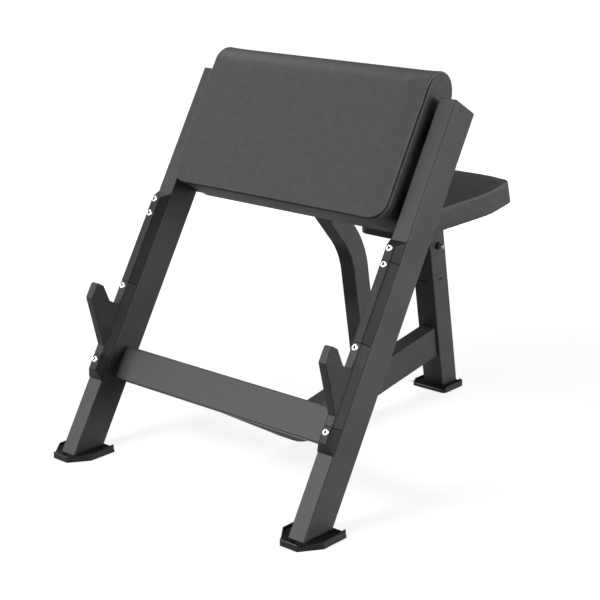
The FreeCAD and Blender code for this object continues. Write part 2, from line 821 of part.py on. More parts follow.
# Rear foot: the same shoe and plate under the post, as a rectangle with two anchor holes.
rear_y = seat_y + (d.seat_height - foot_top) * lean
rear_wide = d.rear_foot_width / 2
rear_shoe = new_body("rear_foot_pad")
rear_sole = new_sketch(rear_shoe, "XY_Plane")
rectangle(rear_sole, -rear_wide, rear_wide, -d.rear_foot_ahead, d.rear_foot_behind, d.rear_foot_corner)
for spot in (-d.rear_anchor_spread / 2, d.rear_anchor_spread / 2):
    circle(rear_sole, spot, d.rear_anchor_behind, d.anchor_hole / 2)
pad(rear_shoe, rear_sole, d.sole_thickness)
rear_inner = rear_wide - d.foot_rim
rear_front = -d.rear_foot_ahead
rear_lip = rear_front + d.foot_rim
rear_wall = new_sketch(rear_shoe, "XY_Plane", d.sole_thickness)
outline(rear_wall, [
    (-rear_wide, d.rear_foot_behind, d.rear_foot_corner),
    (-rear_wide, rear_front, d.rear_foot_corner),
    (rear_wide, rear_front, d.rear_foot_corner),
    (rear_wide, d.rear_foot_behind, d.rear_foot_corner),
    (rear_inner - d.rear_foot_corner, d.rear_foot_behind),
    (rear_inner - d.rear_foot_corner, d.rear_foot_behind - d.foot_rim),
    (rear_inner, d.rear_foot_behind - d.rear_foot_corner),
    (rear_inner, rear_lip, d.foot_plate_corner),
    (-rear_inner, rear_lip, d.foot_plate_corner),
    (-rear_inner, d.rear_foot_behind - d.rear_foot_corner),
    (d.rear_foot_corner - rear_inner, d.rear_foot_behind - d.foot_rim),
    (d.rear_foot_corner - rear_inner, d.rear_foot_behind),
])
pad(rear_shoe, rear_wall, d.foot_rim_height - d.sole_thickness)
rear_line = new_sketch(rear_shoe, "YZ_Plane")
rear_rise = rear_lip + d.rear_foot_corner
rear_above = d.foot_rim_height + d.overrun
outline(rear_line, [
    (rear_front - d.overrun, d.foot_wall_low),
    (rear_lip, d.foot_wall_low),
    (rear_rise, d.foot_rim_height),
    (rear_rise, rear_above),
    (rear_front - d.overrun, rear_above),
])
pocket(rear_shoe, rear_line)


# The upper outer edges of the rear shoe's walls.
def rear_shoe_top(edge):
    box = edge.BoundBox
    if box.ZMin < d.sole_thickness.number + near_zero or box.ZMax - box.ZMin > near_zero:
        return False
    side = rear_wide.number - near_zero
    return box.XMin > side or box.XMax < -side or box.YMax < rear_front.number + near_zero


bevel_edges(rear_shoe, d.foot_bevel, rear_shoe_top)
place(rear_shoe, zero, rear_y, zero)
keep(rear_shoe)
rear_plate = new_body("rear_foot_plate")
rear_flat = new_sketch(rear_plate, "XY_Plane", d.sole_thickness)
rear_inset = d.foot_rim + d.foot_plate_play
rear_edge = rear_wide - rear_inset
rear_clip = rear_edge - d.rear_foot_corner
rear_play = d.foot_plate_play * 2
outline(rear_flat, [
    (-rear_edge, rear_inset - d.rear_foot_ahead, d.foot_plate_corner),
    (rear_edge, rear_inset - d.rear_foot_ahead, d.foot_plate_corner),
    (rear_edge, d.rear_foot_behind - d.rear_foot_corner - rear_play),
    (rear_clip, d.rear_foot_behind - d.foot_rim - rear_play),
    (rear_clip, d.rear_foot_behind),
    (-rear_clip, d.rear_foot_behind),
    (-rear_clip, d.rear_foot_behind - d.foot_rim - rear_play),
    (-rear_edge, d.rear_foot_behind - d.rear_foot_corner - rear_play),
])
for spot in (-d.rear_anchor_spread / 2, d.rear_anchor_spread / 2):
    circle(rear_flat, spot, d.rear_anchor_behind, d.anchor_hole / 2)
pad(rear_plate, rear_flat, d.foot_plate_thickness)
place(rear_plate, zero, rear_y, zero)
keep(rear_plate)


# Bar catches: moulded guards with sloping flanks, one of which carries the hook for the bar.
def guard_profile(body, low, high):
    section = new_sketch(body, "XY_Plane", low)
    base = d.guard_base / 2
    flat = d.guard_flat / 2
    outline(section, [
        (-flat, -d.guard_depth, d.guard_rounding),
        (flat, -d.guard_depth, d.guard_rounding),
        (base, -d.guard_base_bevel),
        (base - d.guard_base_bevel, zero),
        (d.guard_base_bevel - base, zero),
        (-base, -d.guard_base_bevel),
    ])
    pad(body, section, high - low - d.guard_joint)


def guard_hole(body, along):
    hole = new_sketch(body, "XZ_Plane", d.guard_depth + d.overrun)
    circle(hole, zero, along, screw_hole)
    pocket(body, hole)


def make_guard(label, x, low, high, screw, slope_low=False, slope_high=False):
    body = new_body(label)
    guard_profile(body, low, high)
    deep = -(d.guard_depth + d.overrun)
    run = d.guard_end_run * (d.guard_depth + d.overrun) / d.guard_depth
    if slope_low:
        end = new_sketch(body, "YZ_Plane")
        outline(end, [(zero, low), (deep, low + run), (deep, low - d.overrun), (zero, low - d.overrun)])
        pocket(body, end)
    if slope_high:
        end = new_sketch(body, "YZ_Plane")
        outline(end, [(zero, high), (zero, high + d.overrun), (deep, high + d.overrun), (deep, high - run)])
        pocket(body, end)
    guard_hole(body, screw)
    on_leg(body, x)
    return keep(body)


# The outline of the hook's blade on both of its faces, where it stands clear of the guard.
def blade_rim(edge):
    box = edge.BoundBox
    face = d.hook_thickness.number / 2
    flat = box.XMax - box.XMin < near_zero and abs(abs(box.XMax) - face) < near_zero
    return flat and box.YMin < -d.guard_depth.number - near_zero


def make_hook(label, x):
    body = new_body(label)
    guard_profile(body, hook_low, hook_high)
    root = -(d.guard_depth / 2)
    start = hook_low + d.hook_root
    front = start + d.hook_rise
    tip = front + d.hook_nose
    floor = hook_low + d.notch_floor
    slope = d.hook_rise / (d.hook_reach - d.guard_depth)
    blade = new_sketch(body, "YZ_Plane")
    outline(blade, [
        (root, start - (d.guard_depth / 2) * slope),
        (root, floor),
        (-(d.guard_depth + d.notch_width), floor, d.notch_rounding),
        (d.hook_tip - d.hook_reach, tip, d.hook_tip_rounding),
        (-d.hook_reach, tip, d.hook_tip_rounding),
        (-d.hook_reach, front, d.hook_tip_rounding),
    ])
    pad(body, blade, d.hook_thickness, symmetric=True)
    round_edges(body, d.hook_edge, blade_rim)
    guard_hole(body, screw_places[1])
    on_leg(body, x)
    return keep(body)


for side_name, x in (("left", -leg_x), ("right", leg_x)):
    make_guard(side_name + "_bottom_guard", x, d.catch_low, hook_low, screw_places[0], slope_low=True)
    make_hook(side_name + "_bar_hook", x)
    make_guard(side_name + "_middle_guard", x, hook_high, middle_high, screw_places[2])
    make_guard(side_name + "_top_guard", x, middle_high, catch_high, screw_places[3], slope_high=True)


hexagon_sides = 6


def hexagon(sketch, across):
    reach = across / math.sqrt(3)
    corners = []
    for step in range(hexagon_sides):
        angle = 2 * math.pi * step / hexagon_sides
        corners.append((reach * math.cos(angle), reach * math.sin(angle)))
    outline(sketch, corners)


# Button-head screws with a hexagon socket: the seat of the head is at zero, the shank runs down.
def make_screw(label, shank):
    body = new_body(label)
    head = d.screw_head / 2
    radius = d.screw_diameter / 2
    profile = new_sketch(body, "XZ_Plane")
    outline(profile, [
        (zero, -shank),
        (radius, -shank),
        (radius, zero),
        (head, zero),
        (head, d.screw_head_height - d.screw_head_bevel),
        (head - d.screw_head_bevel, d.screw_head_height),
        (zero, d.screw_head_height),
    ])
    turned = body.newObject("PartDesign::Revolution", label + "_turned")
    turned.Profile = profile
    turned.ReferenceAxis = (profile, ["V_Axis"])
    turned.Angle = 360
    finish(body, turned)
    socket = new_sketch(body, "XY_Plane", d.screw_head_height)
    hexagon(socket, d.screw_socket)
    pocket(body, socket, d.screw_socket_depth)
    return body


# Hexagon-head bolts, for the places that no one sees.
def make_bolt(label, shank):
    body = new_body(label)
    head = new_sketch(body, "XY_Plane")
    hexagon(head, d.bolt_head)
    pad(body, head, d.bolt_head_height)
    stem = new_sketch(body, "XY_Plane")
    circle(stem, zero, zero, d.screw_diameter / 2)
    pad(body, stem, shank, backwards=True)
    return body


# A set of like fasteners: one node that holds a solid for each.
def make_set(label, screw, frame, places):
    copies = []
    for base, angle in places:
        shape = screw.Shape.copy()
        vector = FreeCAD.Vector(base[0].number, base[1].number, base[2].number)
        local = FreeCAD.Placement(vector, FreeCAD.Rotation(FreeCAD.Vector(1, 0, 0), angle))
        shape.Placement = frame.multiply(local)
        copies.append(shape)
    group = doc.addObject("Part::Feature", label)
    group.Label = label
    group.Shape = Part.makeCompound(copies)
    return keep(group)


leg_frame = beam.Placement
post_frame = post.Placement
turned_front = 90
turned_back = -90
turned_down = 180
catch_screw = make_screw("catch_screw", d.guard_depth + d.screw_bite)
catch_places = []
for x in (-leg_x, leg_x):
    for along in screw_places:
        catch_places.append(((x, -d.guard_depth, along), turned_front))
make_set("catch_screws", catch_screw, leg_frame, catch_places)
pad_bolt = make_bolt("pad_bolt", d.bar_thickness + d.bolt_bite)
pad_bolt_seats = [((x, bar_back, along), turned_back) for x, along in pad_bolt_places]
make_set("arm_pad_bolts", pad_bolt, leg_frame, pad_bolt_seats)

# Arm pad: a board against the bars and a cushion wrapped round it, half-round along its top.
pad_half = d.pad_width / 2
board = new_body("arm_pad_board")
board_sketch = new_sketch(board, "XZ_Plane", d.board_thickness - pad_back)
board_half = pad_half - d.pad_board_margin
board_low = d.pad_low + d.pad_board_margin
board_high = d.pad_high - d.pad_thickness / 2 - d.pad_board_margin
rectangle(board_sketch, -board_half, board_half, board_low, board_high, d.pad_board_corner)
pad(board, board_sketch, d.board_thickness, backwards=True)
board_holes = new_sketch(board, "XZ_Plane", -pad_back)
for x, along in pad_bolt_places:
    circle(board_holes, x, along, screw_hole)
pocket(board, board_holes, d.bolt_bite + d.screw_play, backwards=True)
on_leg(board)
keep(board)

cushion = new_body("arm_pad_cushion")
face = new_sketch(cushion, "XZ_Plane", d.pad_proud - d.pad_thickness / 2)
top_room = d.pad_high + d.overrun
corners = [(-pad_half, d.pad_low, d.pad_corner), (pad_half, d.pad_low, d.pad_corner)]
corners += [(pad_half, top_room), (-pad_half, top_room)]
outline(face, corners)
draw = Size(
    math.degrees(math.atan(d.pad_draw_in.number / (d.pad_thickness.number / 2))),
    "atan(%s)" % (d.pad_draw_in / (d.pad_thickness / 2)).text,
)
pad(cushion, face, d.pad_thickness / 2 + d.pad_crown, taper=-draw)
pad(cushion, face, d.pad_thickness / 2, backwards=True, taper=-draw)
round_share = 0.49
top_radius = d.pad_thickness * round_share
crown_line = d.pad_high - d.pad_thickness / 2
crown_middle = (d.pad_low + crown_line) / 2
crown_half = (crown_line - d.pad_low) / 2
crown_share = 1.8
crown_radius = crown_half * crown_half * crown_share / (d.pad_crown * 2)
trim = new_sketch(cushion, "YZ_Plane")
room = d.pad_thickness * 2
rectangle(trim, -room, room, d.pad_low - room, d.pad_high + room)
outline(trim, [
    (-d.pad_proud, d.pad_low),
    (pad_back, d.pad_low),
    (pad_back, d.pad_high, top_radius),
    (-d.pad_proud, d.pad_high, top_radius),
    (-d.pad_proud, crown_line - d.pad_edge),
    (-(d.pad_proud + d.pad_crown), crown_middle, crown_radius),
])
pocket(cushion, trim)


# The cushion's outer edge: all round both side faces and along the lower front and back edges.
def pad_rim(edge):
    box = edge.BoundBox
    middle_depth = (d.pad_thickness / 2 - d.pad_proud).number
    if box.YMax - box.YMin < near_zero and abs(box.YMin - middle_depth) < near_zero:
        return False
    if box.ZMax < d.pad_low.number + near_zero:
        return box.XMax - box.XMin > pad_half.number
    if box.XMin * box.XMax < 0:
        return False
    across = box.YMax - box.YMin
    return not (across > d.pad_thickness.number / 4 and box.ZMax < (d.pad_low + d.pad_corner * 2).number)


round_edges(cushion, d.pad_edge, pad_rim)
recess = new_sketch(cushion, "XZ_Plane", -pad_back)
rectangle(recess, -board_half, board_half, board_low, board_high, d.pad_board_corner)
pocket(cushion, recess, d.board_thickness, backwards=True)
on_leg(cushion)
keep(cushion)


# Seat: a tapering outline, narrow in front, with a slightly arched back edge.
def seat_outline(sketch, margin):
    front = d.seat_front_width / 2 - margin
    wide = d.seat_width / 2 - margin
    flat = d.seat_back_flat / 2
    start = margin - d.seat_length / 2
    end = d.seat_length / 2 - margin
    outline(sketch, [
        (-front, start, d.seat_corner),
        (front, start, d.seat_corner),
        (wide, d.seat_shoulder, d.seat_side_radius),
        (wide, end - d.seat_back_drop, d.seat_corner),
        (flat, end, d.seat_back_radius),
        (-flat, end, d.seat_back_radius),
        (-wide, end - d.seat_back_drop, d.seat_corner),
        (-wide, d.seat_shoulder, d.seat_side_radius),
    ])


seat_bolt_places = []
for x in (-d.seat_bolt_spread / 2, d.seat_bolt_spread / 2):
    for y in (-d.seat_bolt_row / 2, d.seat_bolt_row / 2):
        seat_bolt_places.append((x, y))

seat_plate = new_body("seat_plate")
seat_plate_sketch = new_sketch(seat_plate, "XY_Plane", -d.seat_plate_thickness)
half_w = d.seat_plate_width / 2
half_l = d.seat_plate_length / 2
rectangle(seat_plate_sketch, -half_w, half_w, -half_l, half_l, d.seat_plate_corner)
for x, y in seat_bolt_places:
    circle(seat_plate_sketch, x, y, screw_hole)
pad(seat_plate, seat_plate_sketch, d.seat_plate_thickness)
on_post(seat_plate)
keep(seat_plate)

seat_board = new_body("seat_board")
seat_board_sketch = new_sketch(seat_board, "XY_Plane")
seat_outline(seat_board_sketch, d.seat_board_margin)
pad(seat_board, seat_board_sketch, d.board_thickness)
seat_board_holes = new_sketch(seat_board, "XY_Plane")
for x, y in seat_bolt_places:
    circle(seat_board_holes, x, y, screw_hole)
pocket(seat_board, seat_board_holes, d.bolt_bite + d.screw_play, backwards=True)
on_post(seat_board)
keep(seat_board)

seat_cushion = new_body("seat_cushion")
belly = d.seat_thickness / 2
seat_face = new_sketch(seat_cushion, "XY_Plane", belly)
seat_outline(seat_face, zero)
seat_draw = Size(
    math.degrees(math.atan(d.seat_draw_in.number / belly.number)),
    "atan(%s)" % (d.seat_draw_in / belly).text,
)
pad(seat_cushion, seat_face, belly + d.seat_crown, taper=-seat_draw)
pad(seat_cushion, seat_face, belly, backwards=True, taper=-seat_draw)
seat_half = d.seat_length / 2 + d.overrun
above = d.seat_thickness + d.seat_crown * 3
crown = new_sketch(seat_cushion, "YZ_Plane")
corners = [(-seat_half, d.seat_thickness), (-seat_half, above)]
corners += [(seat_half, above), (seat_half, d.seat_thickness)]
outline(crown, corners, (d.seat_crown, seat_half))
pocket(seat_cushion, crown)


# The seat's upper and lower outer edges.
def seat_rim(edge):
    box = edge.BoundBox
    if box.ZMax < near_zero:
        return True
    if box.ZMin < (d.seat_thickness - d.seat_edge).number:
        return False
    inside = abs(box.YMin) < (d.seat_length / 2 - d.seat_edge).number
    return not (box.YMax - box.YMin < near_zero and inside)


bevel_edges(seat_cushion, d.seat_edge, seat_rim)
seat_recess = new_sketch(seat_cushion, "XY_Plane")
seat_outline(seat_recess, d.seat_board_margin)
pocket(seat_cushion, seat_recess, d.board_thickness, backwards=True)
on_post(seat_cushion)
keep(seat_cushion)

seat_bolt = make_bolt("seat_bolt", d.seat_plate_thickness + d.bolt_bite)
seat_bolt_seats = [((x, y, -d.seat_plate_thickness), turned_down) for x, y in seat_bolt_places]
make_set("seat_bolts", seat_bolt, post_frame, seat_bolt_seats)

# Seat tube with a row of pin holes in its right wall, and the glide that closes its lower end.
tube = new_body("seat_tube")
tube_end = plate_w + d.seat_tube_clearance
tube_sketch = new_sketch(tube, "XY_Plane", -d.seat_plate_thickness)
tube_section(tube_sketch, d.seat_tube_size, d.seat_tube_size, d.seat_tube_wall, zero, zero)
pad(tube, tube_sketch, -(d.seat_plate_thickness + tube_end), backwards=True)
tube_holes = new_sketch(tube, "YZ_Plane")
for step in range(int(d.pin_hole_count.number)):
    circle(tube_holes, zero, -(d.pin_drop + d.pin_hole_pitch * step), d.pin_diameter / 2 + d.pin_hole_play)
pocket(tube, tube_holes, d.seat_tube_size / 2 + d.overrun, backwards=True)
on_post(tube)
keep(tube)

glide = new_body("seat_tube_glide")
half_glide = half_post - d.post_wall - d.glide_play
half_plug = d.seat_tube_size / 2 - d.seat_tube_wall - d.plug_play
glide_foot = new_sketch(glide, "XY_Plane", tube_end)
rectangle(glide_foot, -half_glide, half_glide, -half_glide, half_glide, d.tube_inner_corner)
pad(glide, glide_foot, d.glide_length, backwards=True)
glide_plug = new_sketch(glide, "XY_Plane", tube_end)
rectangle(glide_plug, -half_plug, half_plug, -half_plug, half_plug, d.tube_inner_corner)
pad(glide, glide_plug, d.cap_plug)
on_post(glide)
keep(glide)

# Final check of every object, then one file for each node.
doc.recompute()
for thing in doc.Objects:
    if "Invalid" in thing.State or "Error" in thing.State:
        raise RuntimeError("%s is not computed" % thing.Label)
for node in nodes:
    if node.Shape.isNull() or not node.Shape.isValid():
        raise RuntimeError("%s is not a sound shape" % node.Label)
os.makedirs("parts", exist_ok=True)
for node in nodes:
    node.Shape.exportStep("parts/%s.step" % node.Label)
print("%d nodes written" % len(nodes))
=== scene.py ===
# %% [markdown]
# # A preacher curl bench
# The bench is a welded frame of dark powder-coated tube with two black leatherette cushions.
# The rigid parts come from the CAD model as ready meshes. Here they get their finishes. The two
# cushions are modelled, blown up a little by a cloth simulation, and the arm pad is sewn.
# We load the CAD first.

# %% Load the CAD frame
import math

import bmesh
import bpy
import numpy as np
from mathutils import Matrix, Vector


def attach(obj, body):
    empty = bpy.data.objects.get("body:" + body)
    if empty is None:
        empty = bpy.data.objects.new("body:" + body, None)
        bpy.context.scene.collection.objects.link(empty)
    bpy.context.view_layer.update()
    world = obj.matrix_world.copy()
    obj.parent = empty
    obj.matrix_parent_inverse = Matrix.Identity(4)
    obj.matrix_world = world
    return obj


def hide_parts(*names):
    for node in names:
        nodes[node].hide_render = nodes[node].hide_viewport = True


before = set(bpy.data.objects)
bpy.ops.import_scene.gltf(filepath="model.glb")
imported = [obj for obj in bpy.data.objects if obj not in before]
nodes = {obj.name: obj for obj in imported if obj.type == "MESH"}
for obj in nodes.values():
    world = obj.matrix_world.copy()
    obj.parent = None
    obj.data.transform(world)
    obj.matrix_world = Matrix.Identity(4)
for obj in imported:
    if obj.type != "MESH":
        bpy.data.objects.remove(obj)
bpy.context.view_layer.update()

# %% [markdown]
# # The camera
# The photograph is taken from the front right, from above the pad. Its perspective was solved from
# straight edges of the tubes. A long lens gives the flat look, and a small shift of the lens sets
# the bench where the photograph has it in the picture.

# %% Camera at the photograph's viewpoint
camera_turn, camera_tilt = math.radians(41.13), math.radians(14.34)
camera_place = (2.536, -3.0243, 1.5493)
film_width, focal_length, lens_shift = 36, 92.44, -0.1
lens = bpy.data.cameras.new("photo_camera")
lens.sensor_width = film_width
lens.lens = focal_length
lens.shift_y = lens_shift
camera = bpy.data.objects.new("photo_camera", lens)
camera.location = camera_place
camera.rotation_euler = (math.radians(90) - camera_tilt, 0, camera_turn)
bpy.context.scene.collection.objects.link(camera)
bpy.context.scene.camera = camera
print("camera at", camera_place, "lens", focal_length)

# %% [markdown]
# # Floor and light
# A product picture has a white background and a soft shadow at the feet. The floor is grey, and
# its own glow is seen only by the camera and by reflections, so that it reads as white without
# throwing more light on the bench. The main soft box stands in front, so high that the arm pad
# still shades the seat. A second one lights the right sides and a third the back. Three lamps
# show only in reflections and draw a sheen on the front, the top faces and the pad's round top, and
# the dim world fills the shadows. Two dark cards and a small shade keep the seat's top and the bent
# support about as dark as they are in the photograph.

# %% A white background that only the camera and reflections see
def blend_sockets(tree, operation, first, second):
    """One Math node on two sockets."""
    step = tree.nodes.new("ShaderNodeMath")
    step.operation = operation
    tree.links.new(first, step.inputs[0])
    tree.links.new(second, step.inputs[1])
    return step.outputs[0]


def seen_directly(tree):
    """Gives a socket that is 1 for camera, glossy and transmission rays."""
    path = tree.nodes.new("ShaderNodeLightPath")
    shown = path.outputs["Is Camera Ray"]
    for ray in ("Is Glossy Ray", "Is Transmission Ray"):
        shown = blend_sockets(tree, "MAXIMUM", shown, path.outputs[ray])
    return shown


def background(tree, strength):
    """A white background shader; gives its output socket."""
    shader = tree.nodes.new("ShaderNodeBackground")
    shader.inputs["Color"].default_value = (1, 1, 1, 1)
    shader.inputs["Strength"].default_value = strength
    return shader.outputs[0]


world_fill, world_white = 0.05, 1.0
world = bpy.data.worlds.new("studio")
bpy.context.scene.world = world
world.use_nodes = True
sky = world.node_tree
sky.nodes.clear()
either = sky.nodes.new("ShaderNodeMixShader")
sky.links.new(seen_directly(sky), either.inputs["Fac"])
sky.links.new(background(sky, world_fill), either.inputs[1])
sky.links.new(background(sky, world_white), either.inputs[2])
sky_out = sky.nodes.new("ShaderNodeOutputWorld")
sky.links.new(either.outputs[0], sky_out.inputs["Surface"])
bpy.context.scene.view_settings.view_transform = "Standard"
print("world fill", world_fill)

# %% The floor, which keeps the shadow of the bench
floor_size, floor_drop, floor_grey = 60, 0.0004, 0.26
near_edge, far_edge = 0.9, 3.0
glow_near, glow_far = 0.84, 1.0
bpy.ops.object.select_all(action="DESELECT")
bpy.ops.mesh.primitive_plane_add(size=floor_size, location=(0, 0, -floor_drop))
floor = bpy.context.object
floor.name = "studio_floor"
floor_paint = bpy.data.materials.new("studio_floor")
floor_paint.use_nodes = True
ground = floor_paint.node_tree
ground.nodes.clear()
matt = ground.nodes.new("ShaderNodeBsdfDiffuse")
matt.inputs["Color"].default_value = (floor_grey, floor_grey, floor_grey, 1)
spot = ground.nodes.new("ShaderNodeTexCoord")
reach = ground.nodes.new("ShaderNodeVectorMath")
reach.operation = "LENGTH"
ground.links.new(spot.outputs["Object"], reach.inputs[0])
falloff = ground.nodes.new("ShaderNodeMapRange")
falloff.interpolation_type = "SMOOTHSTEP"
falloff.inputs["From Min"].default_value = near_edge
falloff.inputs["From Max"].default_value = far_edge
falloff.inputs["To Min"].default_value = glow_near
falloff.inputs["To Max"].default_value = glow_far
ground.links.new(reach.outputs["Value"], falloff.inputs["Value"])
level = blend_sockets(ground, "MULTIPLY", seen_directly(ground), falloff.outputs["Result"])
glow = ground.nodes.new("ShaderNodeEmission")
glow.inputs["Color"].default_value = (1, 1, 1, 1)
ground.links.new(level, glow.inputs["Strength"])
both = ground.nodes.new("ShaderNodeAddShader")
ground.links.new(matt.outputs[0], both.inputs[0])
ground.links.new(glow.outputs[0], both.inputs[1])
ground_out = ground.nodes.new("ShaderNodeOutputMaterial")
ground.links.new(both.outputs[0], ground_out.inputs["Surface"])
floor.data.materials.append(floor_paint)
print("floor", floor.name)

# %% Soft boxes
aim, lamp_away = Vector((0, -0.05, 0.5)), 4.6


def soft_box(name, turn, height, size, watts):
    """A square lamp at a bearing from the front (turn, to the right) and a height, in degrees."""
    lamp = bpy.data.lights.new(name, "AREA")
    lamp.shape = "SQUARE"
    lamp.size = size
    lamp.energy = watts
    holder = bpy.data.objects.new(name, lamp)
    around, up = math.radians(turn), math.radians(height)
    back = Vector((
        math.sin(around) * math.cos(up), -math.cos(around) * math.cos(up), math.sin(up)))
    holder.location = aim + back * lamp_away
    holder.rotation_euler = (-back).to_track_quat("-Z", "Y").to_euler()
    bpy.context.scene.collection.objects.link(holder)
    return holder


soft_box("key_light", turn=-16, height=38, size=1.6, watts=162)
soft_box("right_light", turn=105, height=4, size=2.0, watts=205)
soft_box("back_light", turn=200, height=25, size=2.4, watts=80).visible_glossy = False
soft_box("front_card", turn=-34, height=16, size=2.2, watts=150).visible_diffuse = False
soft_box("top_card", turn=-86, height=50, size=1.6, watts=75).visible_diffuse = False
soft_box("rim_card", turn=-112, height=46, size=0.9, watts=40).visible_diffuse = False

# %% A black flag behind the seat, which only reflections see
flag_cloth = bpy.data.materials.new("flag_cloth")
flag_cloth.use_nodes = True
black = flag_cloth.node_tree.nodes["Principled BSDF"]
black.inputs["Base Color"].default_value = (0.01, 0.01, 0.01, 1)
black.inputs["Specular IOR Level"].default_value = 0.0


def dark_card(name, place, wide, deep):
    """A level black card that neither the camera nor diffuse light sees."""
    bpy.ops.mesh.primitive_plane_add(size=1, location=place)
    piece = bpy.context.object
    piece.name = name
    piece.scale = (wide, deep, 1)
    piece.data.materials.append(flag_cloth)
    piece.visible_camera = False
    piece.visible_diffuse = False
    return piece


seat_middle = Vector((0, 0.35, 0.5))
flag = dark_card("black_flag", place=(-1.35, 1.75, 1.42), wide=2.2, deep=2.2)
flag.rotation_euler = (seat_middle - flag.location).to_track_quat("Z", "Y").to_euler()
flag.visible_shadow = False
print("flag at", tuple(round(v, 2) for v in flag.location))

# %% A dark card on the floor, which only reflections see
dark_floor = dark_card("floor_card", place=(-0.42, -0.02, 0.004), wide=0.6, deep=0.42)
dark_floor.visible_shadow = False
print("floor card", tuple(round(v, 2) for v in dark_floor.scale))

# %% A card under the pad, which only shadows see
card = dark_card("shadow_card", place=(-0.1, -0.02, 0.55), wide=0.36, deep=0.24)
card.rotation_euler = (math.radians(90), 0, 0)
card.visible_glossy = False
card.visible_transmission = False
print("card", tuple(round(v, 2) for v in card.scale))

# %% [markdown]
# # Finishes
# Every finish is a small graph of noise textures read in Object coordinates, in metres. The pieces
# sit at the origin, so the grain has its real size everywhere. The colour varies a little, the
# roughness follows it, and a bump node gives the surface its grain.

# %% Helpers for the finishes
def new_finish(name):
    """A material with one Principled shader; gives the material, its tree and the shader."""
    paint = bpy.data.materials.new(name)
    paint.use_nodes = True
    return paint, paint.node_tree, paint.node_tree.nodes["Principled BSDF"]


def noise(tree, scale, detail=2.0, roughness=0.5, stretch=None):
    """A noise texture on Object coordinates; gives its factor socket."""
    place = tree.nodes.new("ShaderNodeTexCoord")
    grain = tree.nodes.new("ShaderNodeTexNoise")
    grain.inputs["Scale"].default_value = scale
    grain.inputs["Detail"].default_value = detail
    grain.inputs["Roughness"].default_value = roughness
    if stretch is None:
        tree.links.new(place.outputs["Object"], grain.inputs["Vector"])
    else:
        mapping = tree.nodes.new("ShaderNodeMapping")
        mapping.inputs["Scale"].default_value = stretch
        tree.links.new(place.outputs["Object"], mapping.inputs["Vector"])
        tree.links.new(mapping.outputs["Vector"], grain.inputs["Vector"])
    return grain.outputs["Fac"]


def two_tones(tree, factor, dark, light, low=0.35, high=0.65):
    """A colour ramp between two tones; gives its colour socket."""
    ramp = tree.nodes.new("ShaderNodeValToRGB")
    ramp.color_ramp.elements[0].position = low
    ramp.color_ramp.elements[0].color = (*dark, 1)
    ramp.color_ramp.elements[1].position = high
    ramp.color_ramp.elements[1].color = (*light, 1)
    tree.links.new(factor, ramp.inputs["Fac"])
    return ramp.outputs["Color"]


def between(tree, factor, low, high):
    """Maps a 0-1 socket to the range low-high."""
    span = tree.nodes.new("ShaderNodeMapRange")
    span.inputs["To Min"].default_value = low
    span.inputs["To Max"].default_value = high
    tree.links.new(factor, span.inputs["Value"])
    return span.outputs["Result"]


def bump(tree, shader, height, strength, distance):
    """Feeds a height socket to the shader's normal."""
    relief = tree.nodes.new("ShaderNodeBump")
    relief.inputs["Strength"].default_value = strength
    relief.inputs["Distance"].default_value = distance
    tree.links.new(height, relief.inputs["Height"])
    tree.links.new(relief.outputs["Normal"], shader.inputs["Normal"])


print("finish helpers ready")

# %% [markdown]
# ## Powder coat
# The tubes are charcoal powder coat, a baked plastic film with a fine orange peel. Two noises give
# it: a fine one for the peel, a broad one for the slight change of tone along a tube.

# %% Charcoal powder coat
def powder_coat():
    paint, tree, shader = new_finish("charcoal_powder_coat")
    broad = noise(tree, scale=7.0, detail=3.0)
    peel = noise(tree, scale=900.0, detail=2.0)
    tone = blend_sockets(tree, "ADD", broad, between(tree, peel, -0.12, 0.12))
    shade = two_tones(tree, tone, (0.033, 0.033, 0.034), (0.043, 0.043, 0.044))
    tree.links.new(shade, shader.inputs["Base Color"])
    tree.links.new(between(tree, broad, 0.4, 0.5), shader.inputs["Roughness"])
    shader.inputs["Specular IOR Level"].default_value = 0.2
    bump(tree, shader, peel, strength=0.16, distance=0.0005)
    return paint


finishes = {"powder_coat": powder_coat()}
print(finishes["powder_coat"].name)

# %% [markdown]
# ## Moulded plastics and rubber
# The bar guards are thick moulded plastic with a spark-eroded grain, and the hooks are a little
# paler. The caps are a smoother black plastic, and the feet are a darker,
# glossier rubber. They differ in tone, in grain size and in gloss.

# %% Plastics and rubber
gloss_spread = 0.07


def moulded(name, dark, light, grain_size, gloss, relief, level):
    """A moulded finish: speckled tone, grain bump and a roughness that varies with it."""
    paint, tree, shader = new_finish(name)
    grain = noise(tree, scale=grain_size, detail=3.0, roughness=0.6)
    cloud = noise(tree, scale=16.0, detail=2.0)
    tone = blend_sockets(tree, "ADD", cloud, between(tree, grain, -0.15, 0.15))
    tree.links.new(two_tones(tree, tone, dark, light), shader.inputs["Base Color"])
    mottled = between(tree, grain, gloss - gloss_spread, gloss + gloss_spread)
    tree.links.new(mottled, shader.inputs["Roughness"])
    shader.inputs["Specular IOR Level"].default_value = level
    bump(tree, shader, grain, strength=relief, distance=0.0004)
    return paint


finishes["guard_plastic"] = moulded(
    "guard_plastic", (0.016, 0.016, 0.017), (0.022, 0.022, 0.023),
    grain_size=1300.0, gloss=0.44, relief=0.15, level=0.12)
hook_plastic = moulded(
    "hook_plastic", (0.025, 0.025, 0.026), (0.033, 0.033, 0.034),
    grain_size=1300.0, gloss=0.44, relief=0.15, level=0.15)
finishes["black_plastic"] = moulded(
    "black_plastic", (0.018, 0.018, 0.019), (0.026, 0.026, 0.027),
    grain_size=1700.0, gloss=0.4, relief=0.1, level=0.3)
finishes["rubber"] = moulded(
    "foot_rubber", (0.004, 0.004, 0.004), (0.008, 0.008, 0.008),
    grain_size=700.0, gloss=0.3, relief=0.15, level=0.24)
print("moulded finishes:", sorted(finishes))

